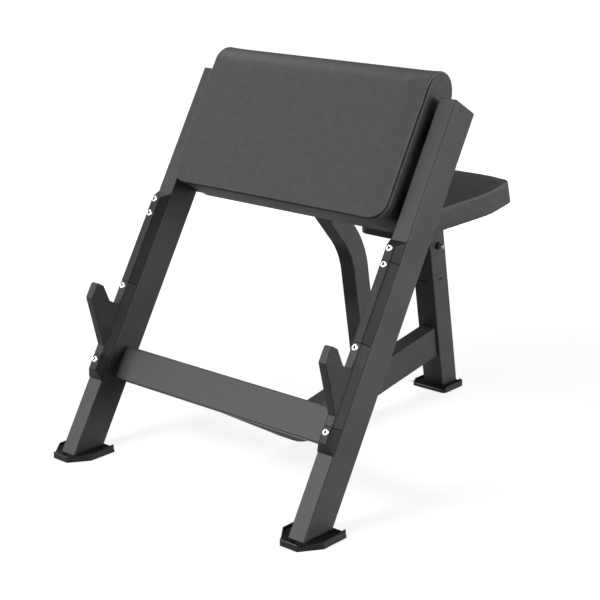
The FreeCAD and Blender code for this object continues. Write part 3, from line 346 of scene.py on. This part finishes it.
# %% [markdown]
# ## Plywood and bright steel
# The boards behind the cushions are plywood: long stretched noise makes the figure of the veneer.
# Screws, bolts and the pull pin are zinc plated, a metal shader whose roughness is mottled.

# %% Plywood and bright steel
def plywood():
    paint, tree, shader = new_finish("plywood_board")
    figure = noise(tree, scale=40.0, detail=6.0, roughness=0.6, stretch=(0.06, 1.0, 1.0))
    pores = noise(tree, scale=900.0, detail=2.0, roughness=0.5, stretch=(0.05, 1.0, 1.0))
    tone = blend_sockets(tree, "ADD", figure, between(tree, pores, -0.15, 0.15))
    shade = two_tones(tree, tone, (0.3, 0.18, 0.09), (0.5, 0.35, 0.2))
    tree.links.new(shade, shader.inputs["Base Color"])
    tree.links.new(between(tree, figure, 0.6, 0.8), shader.inputs["Roughness"])
    bump(tree, shader, pores, strength=0.2, distance=0.0003)
    return paint


def steel(name, dark, light):
    paint, tree, shader = new_finish(name)
    spangle = noise(tree, scale=300.0, detail=3.0)
    shade = two_tones(tree, spangle, dark, light)
    tree.links.new(shade, shader.inputs["Base Color"])
    tree.links.new(between(tree, spangle, 0.25, 0.42), shader.inputs["Roughness"])
    shader.inputs["Metallic"].default_value = 1.0
    bump(tree, shader, spangle, strength=0.05, distance=0.0002)
    return paint


finishes["plywood"] = plywood()
finishes["bright_steel"] = steel("zinc_plated_steel", (0.72, 0.72, 0.73), (0.84, 0.84, 0.85))
print("rigid finishes:", sorted(finishes))

# %% [markdown]
# ## Leatherette
# The cushions wear black vinyl embossed with a pebble grain of about a millimetre and a half.
# Voronoi cells give the pebbles, a fine noise breaks up their rows, and a broad cloud gives the
# soft mottling that the vinyl has where it is stretched. A paler tone paints highlights along the
# edges, beside the seam and on the seat's sides, and a darker tone paints shade down in the seam
# and under the pad's lower front edge. The meshes carry both as attributes, "stretch" and "seam".

# %% Black leatherette
def leatherette(name, dark, light):
    paint, tree, shader = new_finish(name)
    place = tree.nodes.new("ShaderNodeTexCoord")
    pebbles = tree.nodes.new("ShaderNodeTexVoronoi")
    pebbles.feature = "DISTANCE_TO_EDGE"
    pebbles.inputs["Scale"].default_value = 620.0
    tree.links.new(place.outputs["Object"], pebbles.inputs["Vector"])
    cell = between(tree, pebbles.outputs["Distance"], 0.0, 2.2)
    wrinkle = noise(tree, scale=260.0, detail=4.0, roughness=0.6)
    cloud = noise(tree, scale=60.0, detail=4.0, roughness=0.6)
    tone = blend_sockets(tree, "ADD", cloud, between(tree, wrinkle, -0.35, 0.35))
    shade = two_tones(tree, tone, dark, light, 0.2, 0.8)
    # Painted light: "stretch" paints highlights in a paler tone, "seam" paints shade in a darker
    # one.
    painted_light_and_shade = (("stretch", (0.11, 0.11, 0.11, 1)), ("seam", (0.003, 0.003, 0.003, 1)))
    for attribute, colour in painted_light_and_shade:
        share = tree.nodes.new("ShaderNodeAttribute")
        share.attribute_name = attribute
        mix = tree.nodes.new("ShaderNodeMix")
        mix.data_type = "RGBA"
        tree.links.new(share.outputs["Fac"], mix.inputs["Factor"])
        tree.links.new(shade, mix.inputs["A"])
        mix.inputs["B"].default_value = colour
        shade = mix.outputs["Result"]
    tree.links.new(shade, shader.inputs["Base Color"])
    tree.links.new(between(tree, wrinkle, 0.5, 0.66), shader.inputs["Roughness"])
    shader.inputs["Specular IOR Level"].default_value = 0.18
    bump(tree, shader, blend_sockets(tree, "ADD", cell, wrinkle), strength=0.3, distance=0.0006)
    return paint


finishes["leatherette"] = leatherette(
    "black_leatherette", (0.03, 0.03, 0.03), (0.052, 0.052, 0.052))
print(finishes["leatherette"].name)

# %% [markdown]
# ## Painting the CAD nodes
# Each CAD node carries the name of the finish it was given in its record. The material in its slot
# is exchanged for the finish made above. The meshes themselves stay as they are.

# %% Paint the CAD nodes
for node in nodes.values():
    for place in node.material_slots:
        given = place.material.name.split(".")[0] if place.material else ""
        place.material = finishes.get(given, finishes["powder_coat"])
plate_coat = moulded(
    "foot_plate_coat", (0.006, 0.006, 0.006), (0.01, 0.01, 0.01),
    grain_size=900.0, gloss=0.6, relief=0.15, level=0.06)
for name in ("left_foot_plate", "right_foot_plate", "rear_foot_plate"):
    nodes[name].material_slots[0].material = plate_coat
nodes["pin_knob"].material_slots[0].material = steel(
    "blackened_steel", (0.16, 0.16, 0.165), (0.3, 0.3, 0.305))
used = [place.material.name for node in nodes.values() for place in node.material_slots]
print("painted:", {name: used.count(name) for name in sorted(set(used))})

# %% [markdown]
# # Cushions
# A cushion is foam on a board under a stretched cover. By hand it would be a box whose edges are
# rounded and whose faces are pulled about. A cloth simulation is nearer to the real thing: the
# cover is pinned where it is stapled and sewn, air pressure fills it, and it rounds by itself.

# %% Helpers that pick, copy and cut pieces
def clear_selection():
    if bpy.context.object and bpy.context.object.mode != "OBJECT":
        bpy.ops.object.mode_set(mode="OBJECT")
    bpy.ops.object.select_all(action="DESELECT")


def pick(piece):
    """Selects one object and makes it the active one."""
    clear_selection()
    bpy.context.view_layer.objects.active = piece
    piece.select_set(True)


def block(name, low, high):
    """A box between two corners, in metres, as the start of a piece."""
    clear_selection()
    middle = [(a + b) / 2 for a, b in zip(low, high)]
    bpy.ops.mesh.primitive_cube_add(size=1, location=middle)
    piece = bpy.context.object
    piece.name = name
    piece.scale = [b - a for a, b in zip(low, high)]
    bpy.ops.object.transform_apply(location=True, rotation=True, scale=True)
    return piece


def apply_modifier(piece, modifier):
    pick(piece)
    bpy.ops.object.modifier_apply(modifier=modifier.name)


def cut_out(piece, tool):
    """Takes the shape of a tool out of a piece, and removes the tool."""
    cut = piece.modifiers.new("cut", "BOOLEAN")
    cut.operation = "DIFFERENCE"
    cut.object = tool
    apply_modifier(piece, cut)
    bpy.data.objects.remove(tool)


def spare_copy(piece):
    """A second object with its own mesh, to keep a shape as it is now."""
    spare = piece.copy()
    spare.data = piece.data.copy()
    bpy.context.scene.collection.objects.link(spare)
    return spare


print("piece helpers ready")

# %% Helpers that select and round edges
def open_edit(piece):
    pick(piece)
    bpy.ops.object.mode_set(mode="EDIT")


def select_where(piece, kind, wanted):
    """In edit mode, selects each VERT, EDGE or FACE for which wanted is true, and counts them."""
    open_edit(piece)
    bpy.ops.mesh.select_mode(type=kind)
    bpy.ops.mesh.select_all(action="DESELECT")
    shell = bmesh.from_edit_mesh(piece.data)
    elements = {"VERT": shell.verts, "EDGE": shell.edges, "FACE": shell.faces}[kind]
    for element in elements:
        element.select_set(wanted(element))
    if kind == "VERT":
        shell.select_flush(True)
    bmesh.update_edit_mesh(piece.data)
    return sum(element.select for element in elements)


def middle_of(edge):
    return (edge.verts[0].co + edge.verts[1].co) / 2


def runs_along(edge, axis):
    """True for an edge that lies along an axis: 0, 1 or 2 for X, Y or Z."""
    return abs((edge.verts[1].co - edge.verts[0].co).normalized()[axis]) > 0.9


def looks_down(face):
    return face.normal.z < -0.9


def soften_edges(piece, radius, wanted):
    """Rounds the sharp edges of a block where wanted(middle) is true."""
    sharp = math.radians(50)
    select_where(piece, "EDGE", lambda edge: (
        edge.calc_face_angle(0) > sharp and wanted(middle_of(edge))))
    bpy.ops.mesh.bevel(offset=radius, segments=3, affect="EDGES", clamp_overlap=False)
    bpy.ops.object.mode_set(mode="OBJECT")


print("edge helpers ready")

# %% [markdown]
# ## The shape under the arm pad's cover
# The pad is a long box with a half-round top edge. It is modelled lying in its own frame, with X
# across the bench, Y into the pad and Z up along the legs, a little small because the cover swells.
# The top edges get a large bevel, the lower corners a smaller one, and a box cut out of the back
# leaves room for the board.

# %% Arm pad block with its half-round top
pad_half, pad_skin, pad_back = 0.355, -0.0396, 0.073
pad_low, pad_crest = 0.7665, 1.1715
pad_middle = (pad_low + pad_crest) / 2
round_radius = (pad_back - pad_skin) / 2
round_gap = 0.0004  # keeps the two round edges from meeting
arm_pad = block("arm_pad_cover", (-pad_half, pad_skin, pad_low), (pad_half, pad_back, pad_crest))
count = select_where(
    arm_pad, "EDGE", lambda edge: runs_along(edge, 0) and middle_of(edge).z > pad_middle)
bpy.ops.mesh.bevel(offset=round_radius - round_gap, segments=16, affect="EDGES")
print("top edges rounded:", count)

# %% Lower corners and the recess for the board
corner_radius, edge_radius, edges_until = 0.047, 0.004, 0.04
recess_half, recess_floor, recess_open = 0.338, 0.0565, 0.1
recess_low, recess_high = 0.783, 1.0965
count = select_where(
    arm_pad, "EDGE", lambda edge: runs_along(edge, 1) and middle_of(edge).z < pad_middle)
bpy.ops.mesh.bevel(offset=corner_radius, segments=10, affect="EDGES")
cut_out(arm_pad, block(
    "board_recess",
    (-recess_half, recess_floor, recess_low), (recess_half, recess_open, recess_high)))
soften_edges(arm_pad, edge_radius, lambda at: at.y < edges_until)
arm_form = spare_copy(arm_pad)
print("corners rounded:", count, "faces:", len(arm_pad.data.polygons))

# %% [markdown]
# ## Blowing up a cover
# The block is remeshed into small even squares, so that the cloth can bend anywhere. The points at
# the back and on the seam are pinned and pressure pushes the rest out. Only the swelling is kept,
# at most a few millimetres of it. Then the squares are halved and drawn back onto the sharp block,
# which the remesh had blunted, and the swelling is added to that.

# %% The cloth step that both cushions share
cloth_frames, calm_rounds = 20, 14


def remesh(piece, size):
    step = piece.modifiers.new("even_squares", "REMESH")
    step.mode = "VOXEL"
    step.voxel_size = size
    apply_modifier(piece, step)


def calmed(piece, moves, rounds):
    """Evens out the movement between neighbours, so that the foam's shape shows and no ripples."""
    ends = np.array([edge.vertices[:] for edge in piece.data.edges])
    first, last = np.concatenate([ends[:, 0], ends[:, 1]]), np.concatenate([ends[:, 1], ends[:, 0]])
    around = np.maximum(np.bincount(first, minlength=len(moves)), 1)
    for _ in range(rounds):
        near = np.stack([np.bincount(first, moves[last, k], len(moves)) for k in range(3)], axis=1)
        moves = moves / 2 + near / around[:, None] / 2
    return moves


def places(piece):
    """The places of all points, as rows."""
    found = np.empty(len(piece.data.vertices) * 3)
    piece.data.vertices.foreach_get("co", found)
    return found.reshape(-1, 3)


def blow_up(piece, pinned, pressure, most):
    """Runs the cloth simulation with some points pinned and notes the swelling of each point."""
    before = places(piece)
    group = piece.vertex_groups.new(name="stapled")
    for point in piece.data.vertices:
        group.add([point.index], pinned(point.co), "REPLACE")
    cloth = piece.modifiers.new("cover", "CLOTH")
    cloth.settings.vertex_group_mass = group.name
    cloth.settings.use_pressure = True
    cloth.settings.uniform_pressure_force = pressure
    cloth.settings.effector_weights.gravity = 0
    cloth.settings.tension_stiffness = 15
    cloth.settings.compression_stiffness = 15
    cloth.settings.bending_stiffness = 1.5
    cloth.settings.quality = 5
    cloth.point_cache.frame_start = 1
    cloth.point_cache.frame_end = cloth_frames
    for moment in range(1, cloth_frames + 1):
        bpy.context.scene.frame_set(moment)
    apply_modifier(piece, cloth)
    bpy.context.scene.frame_set(1)
    piece.vertex_groups.clear()
    moves = places(piece) - before
    far = np.maximum(np.linalg.norm(moves, axis=1), 1e-9)
    eased = most * np.tanh(far / most) / far
    moves = calmed(piece, moves * eased[:, None], calm_rounds)
    piece.data.vertices.foreach_set("co", before.ravel())
    swelling = piece.data.attributes.new("swelling", "FLOAT_VECTOR", "POINT")
    swelling.data.foreach_set("vector", moves.ravel())
    return far.max()


def halve_squares(piece):
    finer = piece.modifiers.new("finer", "SUBSURF")
    finer.subdivision_type = "SIMPLE"
    finer.levels = 1
    finer.render_levels = 1
    apply_modifier(piece, finer)


def firm_up(piece, form):
    """Draws the points onto the sharp block, adds the swelling and gives their places before it."""
    wrap = piece.modifiers.new("onto_block", "SHRINKWRAP")
    wrap.target = form
    apply_modifier(piece, wrap)
    bpy.data.objects.remove(form)
    rest = places(piece)
    swelling = piece.data.attributes.get("swelling")
    if swelling:
        moves = np.empty(len(rest) * 3)
        swelling.data.foreach_get("vector", moves)
        piece.data.vertices.foreach_set("co", rest.ravel() + moves)
        piece.data.attributes.remove(swelling)
    piece.data.update()
    return rest


print("cloth step ready")

# %% [markdown]
# ## Where the arm pad is sewn
# The face panel runs up over the half-round top. Its edge is sewn to a band that goes along both
# ends and the bottom, a few millimetres in from the edge. So the seam is found by how far a point
# lies inside the pad's side view: from the front line below, and from the half circle above.

# %% The seam's distance
round_y, round_z = pad_skin + round_radius, pad_crest - round_radius
seam_in, seam_from, seam_until = 0.0075, 0.001, 0.018
seam_end = round_y + 0.035


def inside_side_view(at):
    """How far a point lies inside the outline of the pad's side view, in metres."""
    if at[2] < round_z:
        return at[1] - pad_skin
    return round_radius - math.hypot(at[1] - round_y, at[2] - round_z)


def near_seam(at):
    return seam_from < inside_side_view(at) < seam_until and at[1] < seam_end


print("seam", seam_in * 1000, "mm inside the edge")

# %% Blow up the arm pad
staple_line, seam_hold = 0.05, 0.004
pad_square, pad_swell = 0.007, 0.0032
cover_pressure = 4.0


def arm_pad_pins(at):
    """The cover is stapled behind, and held by the seam."""
    held = at.y > staple_line or abs(inside_side_view(at) - seam_in) < seam_hold
    return 1.0 if held else 0.0


remesh(arm_pad, pad_square)
print("arm pad squares:", len(arm_pad.data.polygons))
moved = blow_up(arm_pad, arm_pad_pins, cover_pressure, pad_swell)
print("cover moved up to", round(moved, 4))
halve_squares(arm_pad)
count = select_where(arm_pad, "VERT", lambda point: near_seam(point.co))
bpy.ops.mesh.subdivide(number_cuts=1)
bpy.ops.object.mode_set(mode="OBJECT")
on_block = firm_up(arm_pad, arm_form)
print("points near the seam:", count, "arm pad faces:", len(arm_pad.data.polygons))

# %% [markdown]
# ## The seam itself
# The thread pulls a groove into the cover, and the cover rises a little on both sides of it. Each
# point near the seam moves along its normal by that profile, which fades out at the back of the
# top. Painted highlights along the face's edge and on the ridges, painted shade in the groove and a
# band of painted shade under the lower front edge are noted with the seam.

# %% The profile of the seam
groove_depth, groove_width = 0.0044, 0.0024
ridge_height, ridge_out, ridge_width = 0.0011, 0.0052, 0.0024


def note(piece, name, values):
    """Writes one number per point, for the leatherette to read."""
    kept = piece.data.attributes.new(name, "FLOAT", "POINT")
    kept.data.foreach_set("value", values)


def clamped(value):
    """Keeps a value between 0 and 1."""
    return max(0.0, min(1.0, value))


def bell(distance, width):
    """A bell curve that is 1 at its middle."""
    return math.exp(-(distance / width) ** 2)


def stitch(distance):
    """The height of the cover at a distance from the seam: a groove between two low ridges."""
    groove = -groove_depth * bell(distance, groove_width)
    return groove + ridge_height * bell(abs(distance) - ridge_out, ridge_width)


def face_way(at):
    """The direction that the face panel looks in: ahead, and round the half circle at the top."""
    if at[2] < round_z:
        return Vector((0, -1, 0))
    return Vector((0, at[1] - round_y, at[2] - round_z)).normalized()


def edge_highlight(facing):
    """A painted highlight along an edge, from how much a point faces the panel's way."""
    return clamped(4 * facing * (1 - facing))


print("groove", groove_depth * 1000, "mm deep")

# %% Sew the arm pad
edge_zone, side_on = 0.006, 0.75
highlight_until, fade_back = round_y + 0.03, 0.02
fade_top, least_fade = 0.03, 0.25
ridge_highlight, ridge_highlight_width, seam_shade_width = 0.8, 0.002, 0.0025
band_shade, band_in, band_width, band_below = 0.85, 0.011, 0.009, 0.8
normals = [Vector(n.vector) for n in arm_pad.data.vertex_normals]
# Painted highlights are gathered in stretch, painted shade in seam.
stretch = np.zeros(len(normals))
seam = np.zeros(len(normals))
for k, (point, at, out) in enumerate(zip(arm_pad.data.vertices, on_block, normals)):
    inside = inside_side_view(at)
    from_seam = inside - seam_in
    fade = clamped((highlight_until - at[1]) / fade_back)
    # Painted highlight along the rounded edge of the face panel.
    if inside < edge_zone:
        stretch[k] = edge_highlight(out.dot(face_way(at))) * fade
    fade *= max(least_fade, min(1.0, (round_z + fade_top - at[2]) / fade_top))
    if near_seam(at) and abs(out.y) < side_on:
        point.co += out * stitch(from_seam) * fade
        # Painted highlight on the ridge beside the seam, and painted shade down in its groove.
        pale = ridge_highlight * fade * bell(from_seam - ridge_out, ridge_highlight_width)
        stretch[k] = max(stretch[k], pale)
        seam[k] = fade * bell(from_seam, seam_shade_width)
    # Painted shade: a darker band on the underside just behind the lower front edge.
    if out.z < -0.8 and at[2] < band_below:
        seam[k] = max(seam[k], band_shade * bell(inside - band_in, band_width))
# The painted highlights go into "stretch", the painted shade into "seam".
note(arm_pad, "stretch", stretch)
note(arm_pad, "seam", seam)
print("seam points:", int((seam > 0.1).sum()))

# %% Set the arm pad in its place
leg_rake, leg_foot = 30.2, Vector((0, -0.5888, 0.0125))


def set_in_place(piece, tilt, place):
    """Turns a piece about X and moves it, then applies both, so that its origin stays at 0."""
    pick(piece)
    piece.rotation_euler = (math.radians(tilt), 0, 0)
    piece.location = place
    bpy.ops.object.transform_apply(location=True, rotation=True, scale=True)
    bpy.ops.object.shade_smooth()


set_in_place(arm_pad, -leg_rake, leg_foot)
arm_pad.data.materials.clear()
arm_pad.data.materials.append(finishes["leatherette"])
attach(arm_pad, "frame")
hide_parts("arm_pad_cushion")
print("arm pad in place:", arm_pad.name)

# %% [markdown]
# ## The seat
# The seat is wider behind than in front. A box is cut to that outline with bisect, the upright
# edges are rounded, and the underside gets its recess for the board. The cover is stapled
# underneath, so only the bottom is pinned, and the top crowns over the foam.

# %% Seat block cut to its outline
front_half, rear_half, back_half = 0.081, 0.178, 0.085
seat_front, seat_wide, seat_corner, seat_back = -0.1995, 0.069, 0.1865, 0.1995
seat_thick, swell = 0.0642, 0.001
seat = block(
    "seat_cover",
    (-rear_half + swell, seat_front + swell * 2, 0.0),
    (rear_half - swell, seat_back - swell, seat_thick))


def trim(piece, first, last, inset):
    """Cuts away what lies to the right of the line from first to last, seen from above."""
    along = Vector((last[0] - first[0], last[1] - first[1], 0)).normalized()
    out = Vector((along.y, -along.x, 0))
    at = Vector((first[0], first[1], 0)) - out * inset
    open_edit(piece)
    bpy.ops.mesh.select_all(action="SELECT")
    bpy.ops.mesh.bisect(plane_co=at, plane_no=out, use_fill=True, clear_outer=True)


outline = (
    ((front_half, seat_front), (rear_half, seat_wide)),
    ((-rear_half, seat_wide), (-front_half, seat_front)),
    ((rear_half, seat_corner), (back_half, seat_back)),
    ((-back_half, seat_back), (-rear_half, seat_corner)))
for first, last in outline:
    trim(seat, first, last, swell)
upright_radius = 0.024
count = select_where(seat, "EDGE", lambda edge: runs_along(edge, 2))
bpy.ops.mesh.bevel(offset=upright_radius, segments=7, affect="EDGES")
print("upright edges rounded:", count)

# %% Recess for the seat board
seat_rim, board_room = 0.0075, 0.0165
rim_radius, rim_zone = 0.006, 0.05
select_where(seat, "FACE", looks_down)
bpy.ops.mesh.inset(thickness=seat_rim)
bpy.ops.mesh.extrude_region_move(TRANSFORM_OT_translate={"value": (0, 0, board_room)})
bpy.ops.object.mode_set(mode="OBJECT")
soften_edges(seat, rim_radius, lambda at: at.z > rim_zone)
seat_form = spare_copy(seat)
print("seat faces:", len(seat.data.polygons))

# %% Blow up the seat
hem, recess_top, recess_in = 0.005, 0.021, 0.0105
seat_square, seat_swell = 0.0046, 0.0038


def inside_seat(at):
    """How far a point lies inside the seat's tapered sides, in metres."""
    slope = Vector((seat_wide - seat_front, -(rear_half - front_half))).normalized()
    taper = slope.dot(Vector((rear_half - abs(at.x), seat_wide - at.y)))
    return min(rear_half - abs(at.x), taper, at.y - seat_front, seat_back - at.y)


def seat_pins(at):
    """The cover is stapled to the underside and in the board's recess."""
    held = at.z < hem or (at.z < recess_top and inside_seat(at) > recess_in)
    return 1.0 if held else 0.0


remesh(seat, seat_square)
print("seat squares:", len(seat.data.polygons))
moved = blow_up(seat, seat_pins, cover_pressure, seat_swell)
print("cover moved up to", round(moved, 4))
halve_squares(seat)
on_block = firm_up(seat, seat_form)
print("seat faces:", len(seat.data.polygons))

# %% Set the seat in its place
painted_side_light = 0.12
seat_tilt, seat_place = 10, (0, 0.4205, 0.5373)
# Painted light: a highlight along the top edge and a paler tone on the upright sides.
stretch = []
for normal, at in zip(seat.data.vertex_normals, on_block):
    upward = normal.vector.z
    rim_highlight = edge_highlight(upward) if at[2] > rim_zone else 0.0
    stretch.append(max(rim_highlight, painted_side_light if abs(upward) < 0.5 else 0.0))
note(seat, "stretch", np.array(stretch))
set_in_place(seat, seat_tilt, seat_place)
seat.data.materials.clear()
seat.data.materials.append(finishes["leatherette"])
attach(seat, "seat")
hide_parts("seat_cushion")
print("seat in place:", seat.name)

# %% [markdown]
# # Moulded edges
# Rubber shoes and moulded guards have no sharp edges. A copy of each CAD mesh is merged into one
# skin, its flat faces are dissolved back into whole ones, and its outer edges get a small round
# bevel. Weighted normals keep the large faces flat. The copies take the place of their nodes.

# %% Round the edges of the feet, the guards and the hooks
lip_radius, guard_radius = 0.0019, 0.0011
tray_top, hole_step = 0.0075, 0.0007
smooth_angle = math.radians(35)


def softened(name, width, wanted):
    """A copy of a CAD node with its wanted outer edges rounded, which takes the node's place."""
    piece = spare_copy(nodes[name])
    piece.name = name + "_rounded"
    open_edit(piece)
    bpy.ops.mesh.customdata_custom_splitnormals_clear()
    bpy.ops.mesh.select_all(action="SELECT")
    bpy.ops.mesh.remove_doubles(threshold=0.00001)
    bpy.ops.mesh.dissolve_limited(angle_limit=math.radians(0.5))
    sharp = math.radians(32)
    select_where(piece, "EDGE", lambda edge: (
        edge.is_convex and edge.calc_face_angle(0.0) > sharp and wanted(edge)))
    bpy.ops.mesh.bevel(offset=width, segments=4, affect="EDGES")
    bpy.ops.object.mode_set(mode="OBJECT")
    bpy.ops.object.shade_smooth_by_angle(angle=smooth_angle)
    flat = piece.modifiers.new("flat_faces", "WEIGHTED_NORMAL")
    flat.weight = 100
    flat.keep_sharp = True
    apply_modifier(piece, flat)
    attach(piece, "frame")
    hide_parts(name)
    return piece


def on_lip(edge):
    """Edges of a foot's lip, above the tray that the foot plate lies in."""
    return middle_of(edge).z > tray_top


def not_hole(edge):
    """All edges but the short ones round a screw hole."""
    return edge.calc_length() > hole_step


rounded = []
for name in ("left_foot_pad", "right_foot_pad", "rear_foot_pad"):
    rounded.append(softened(name, lip_radius, on_lip))
for side_name in ("left", "right"):
    for part in ("bottom_guard", "bar_hook", "middle_guard", "top_guard"):
        rounded.append(softened(side_name + "_" + part, guard_radius, not_hole))
        if part == "bar_hook":
            rounded[-1].data.materials[0] = hook_plastic
print("rounded pieces:", len(rounded), "faces:", sum(len(o.data.polygons) for o in rounded))

# %% [markdown]
# # Screws
# Eight button-head screws hold the bar guards. One is turned from a cylinder: its rim is bevelled
# into a dome, a shank is drawn out of its underside, and a six-sided cutter makes the socket. Then
# it is copied to the eight places along the legs.

# %% One button-head screw
head_radius, head_height, dome, top_margin = 0.0082, 0.0044, 0.0032, 0.0001
under_rim, shank_length = 0.0042, 0.0325
socket_radius, socket_cut, socket_at = 0.0034, 0.006, 0.0047
clear_selection()
bpy.ops.mesh.primitive_cylinder_add(
    vertices=40, radius=head_radius, depth=head_height, location=(0, 0, head_height / 2))
screw = bpy.context.object
screw.name = "catch_screw"
bpy.ops.object.transform_apply(location=True, rotation=True, scale=True)
select_where(screw, "EDGE", lambda edge: middle_of(edge).z > head_height - top_margin)
bpy.ops.mesh.bevel(offset=dome, segments=5, affect="EDGES")
select_where(screw, "FACE", looks_down)
bpy.ops.mesh.inset(thickness=under_rim)
bpy.ops.mesh.extrude_region_move(TRANSFORM_OT_translate={"value": (0, 0, -shank_length)})
clear_selection()
bpy.ops.mesh.primitive_cylinder_add(
    vertices=6, radius=socket_radius, depth=socket_cut, location=(0, 0, socket_at))
cut_out(screw, bpy.context.object)
print("screw faces:", len(screw.data.polygons))

# %% Give the screw its finish and painted shade in its socket, and copy it along the legs
socket_low, socket_reach = 0.0012, 0.0031
leg_side, guard_face = 0.3964, -0.0255
screw_places = (0.2528, 0.4596, 0.6663, 0.7069)
socket_shade = moulded(
    "socket_shade", (0.05, 0.05, 0.052), (0.09, 0.09, 0.092),
    grain_size=900.0, gloss=0.5, relief=0.1, level=0.3)
screw.data.materials.clear()
screw.data.materials.append(finishes["bright_steel"])
screw.data.materials.append(socket_shade)
# Painted shade: the faces down in the socket get a dark finish.
for face in screw.data.polygons:
    middle = face.center
    if middle.z > socket_low and math.hypot(middle.x, middle.y) < socket_reach:
        face.material_index = 1
rake = math.radians(leg_rake)
up_leg = Vector((0, math.sin(rake), math.cos(rake)))
into_leg = Vector((0, math.cos(rake), -math.sin(rake)))
made = []
for side in (-1, 1):
    for along in screw_places:
        copy = spare_copy(screw)
        copy.name = "catch_screw_%d" % (len(made) + 1)
        place = leg_foot + up_leg * along + into_leg * guard_face
        set_in_place(copy, 90 - leg_rake, (side * leg_side, place.y, place.z))
        bpy.ops.object.shade_smooth_by_angle(angle=smooth_angle)
        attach(copy, "frame")
        made.append(copy)
bpy.data.objects.remove(screw)
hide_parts("catch_screws")
print("screws:", len(made))
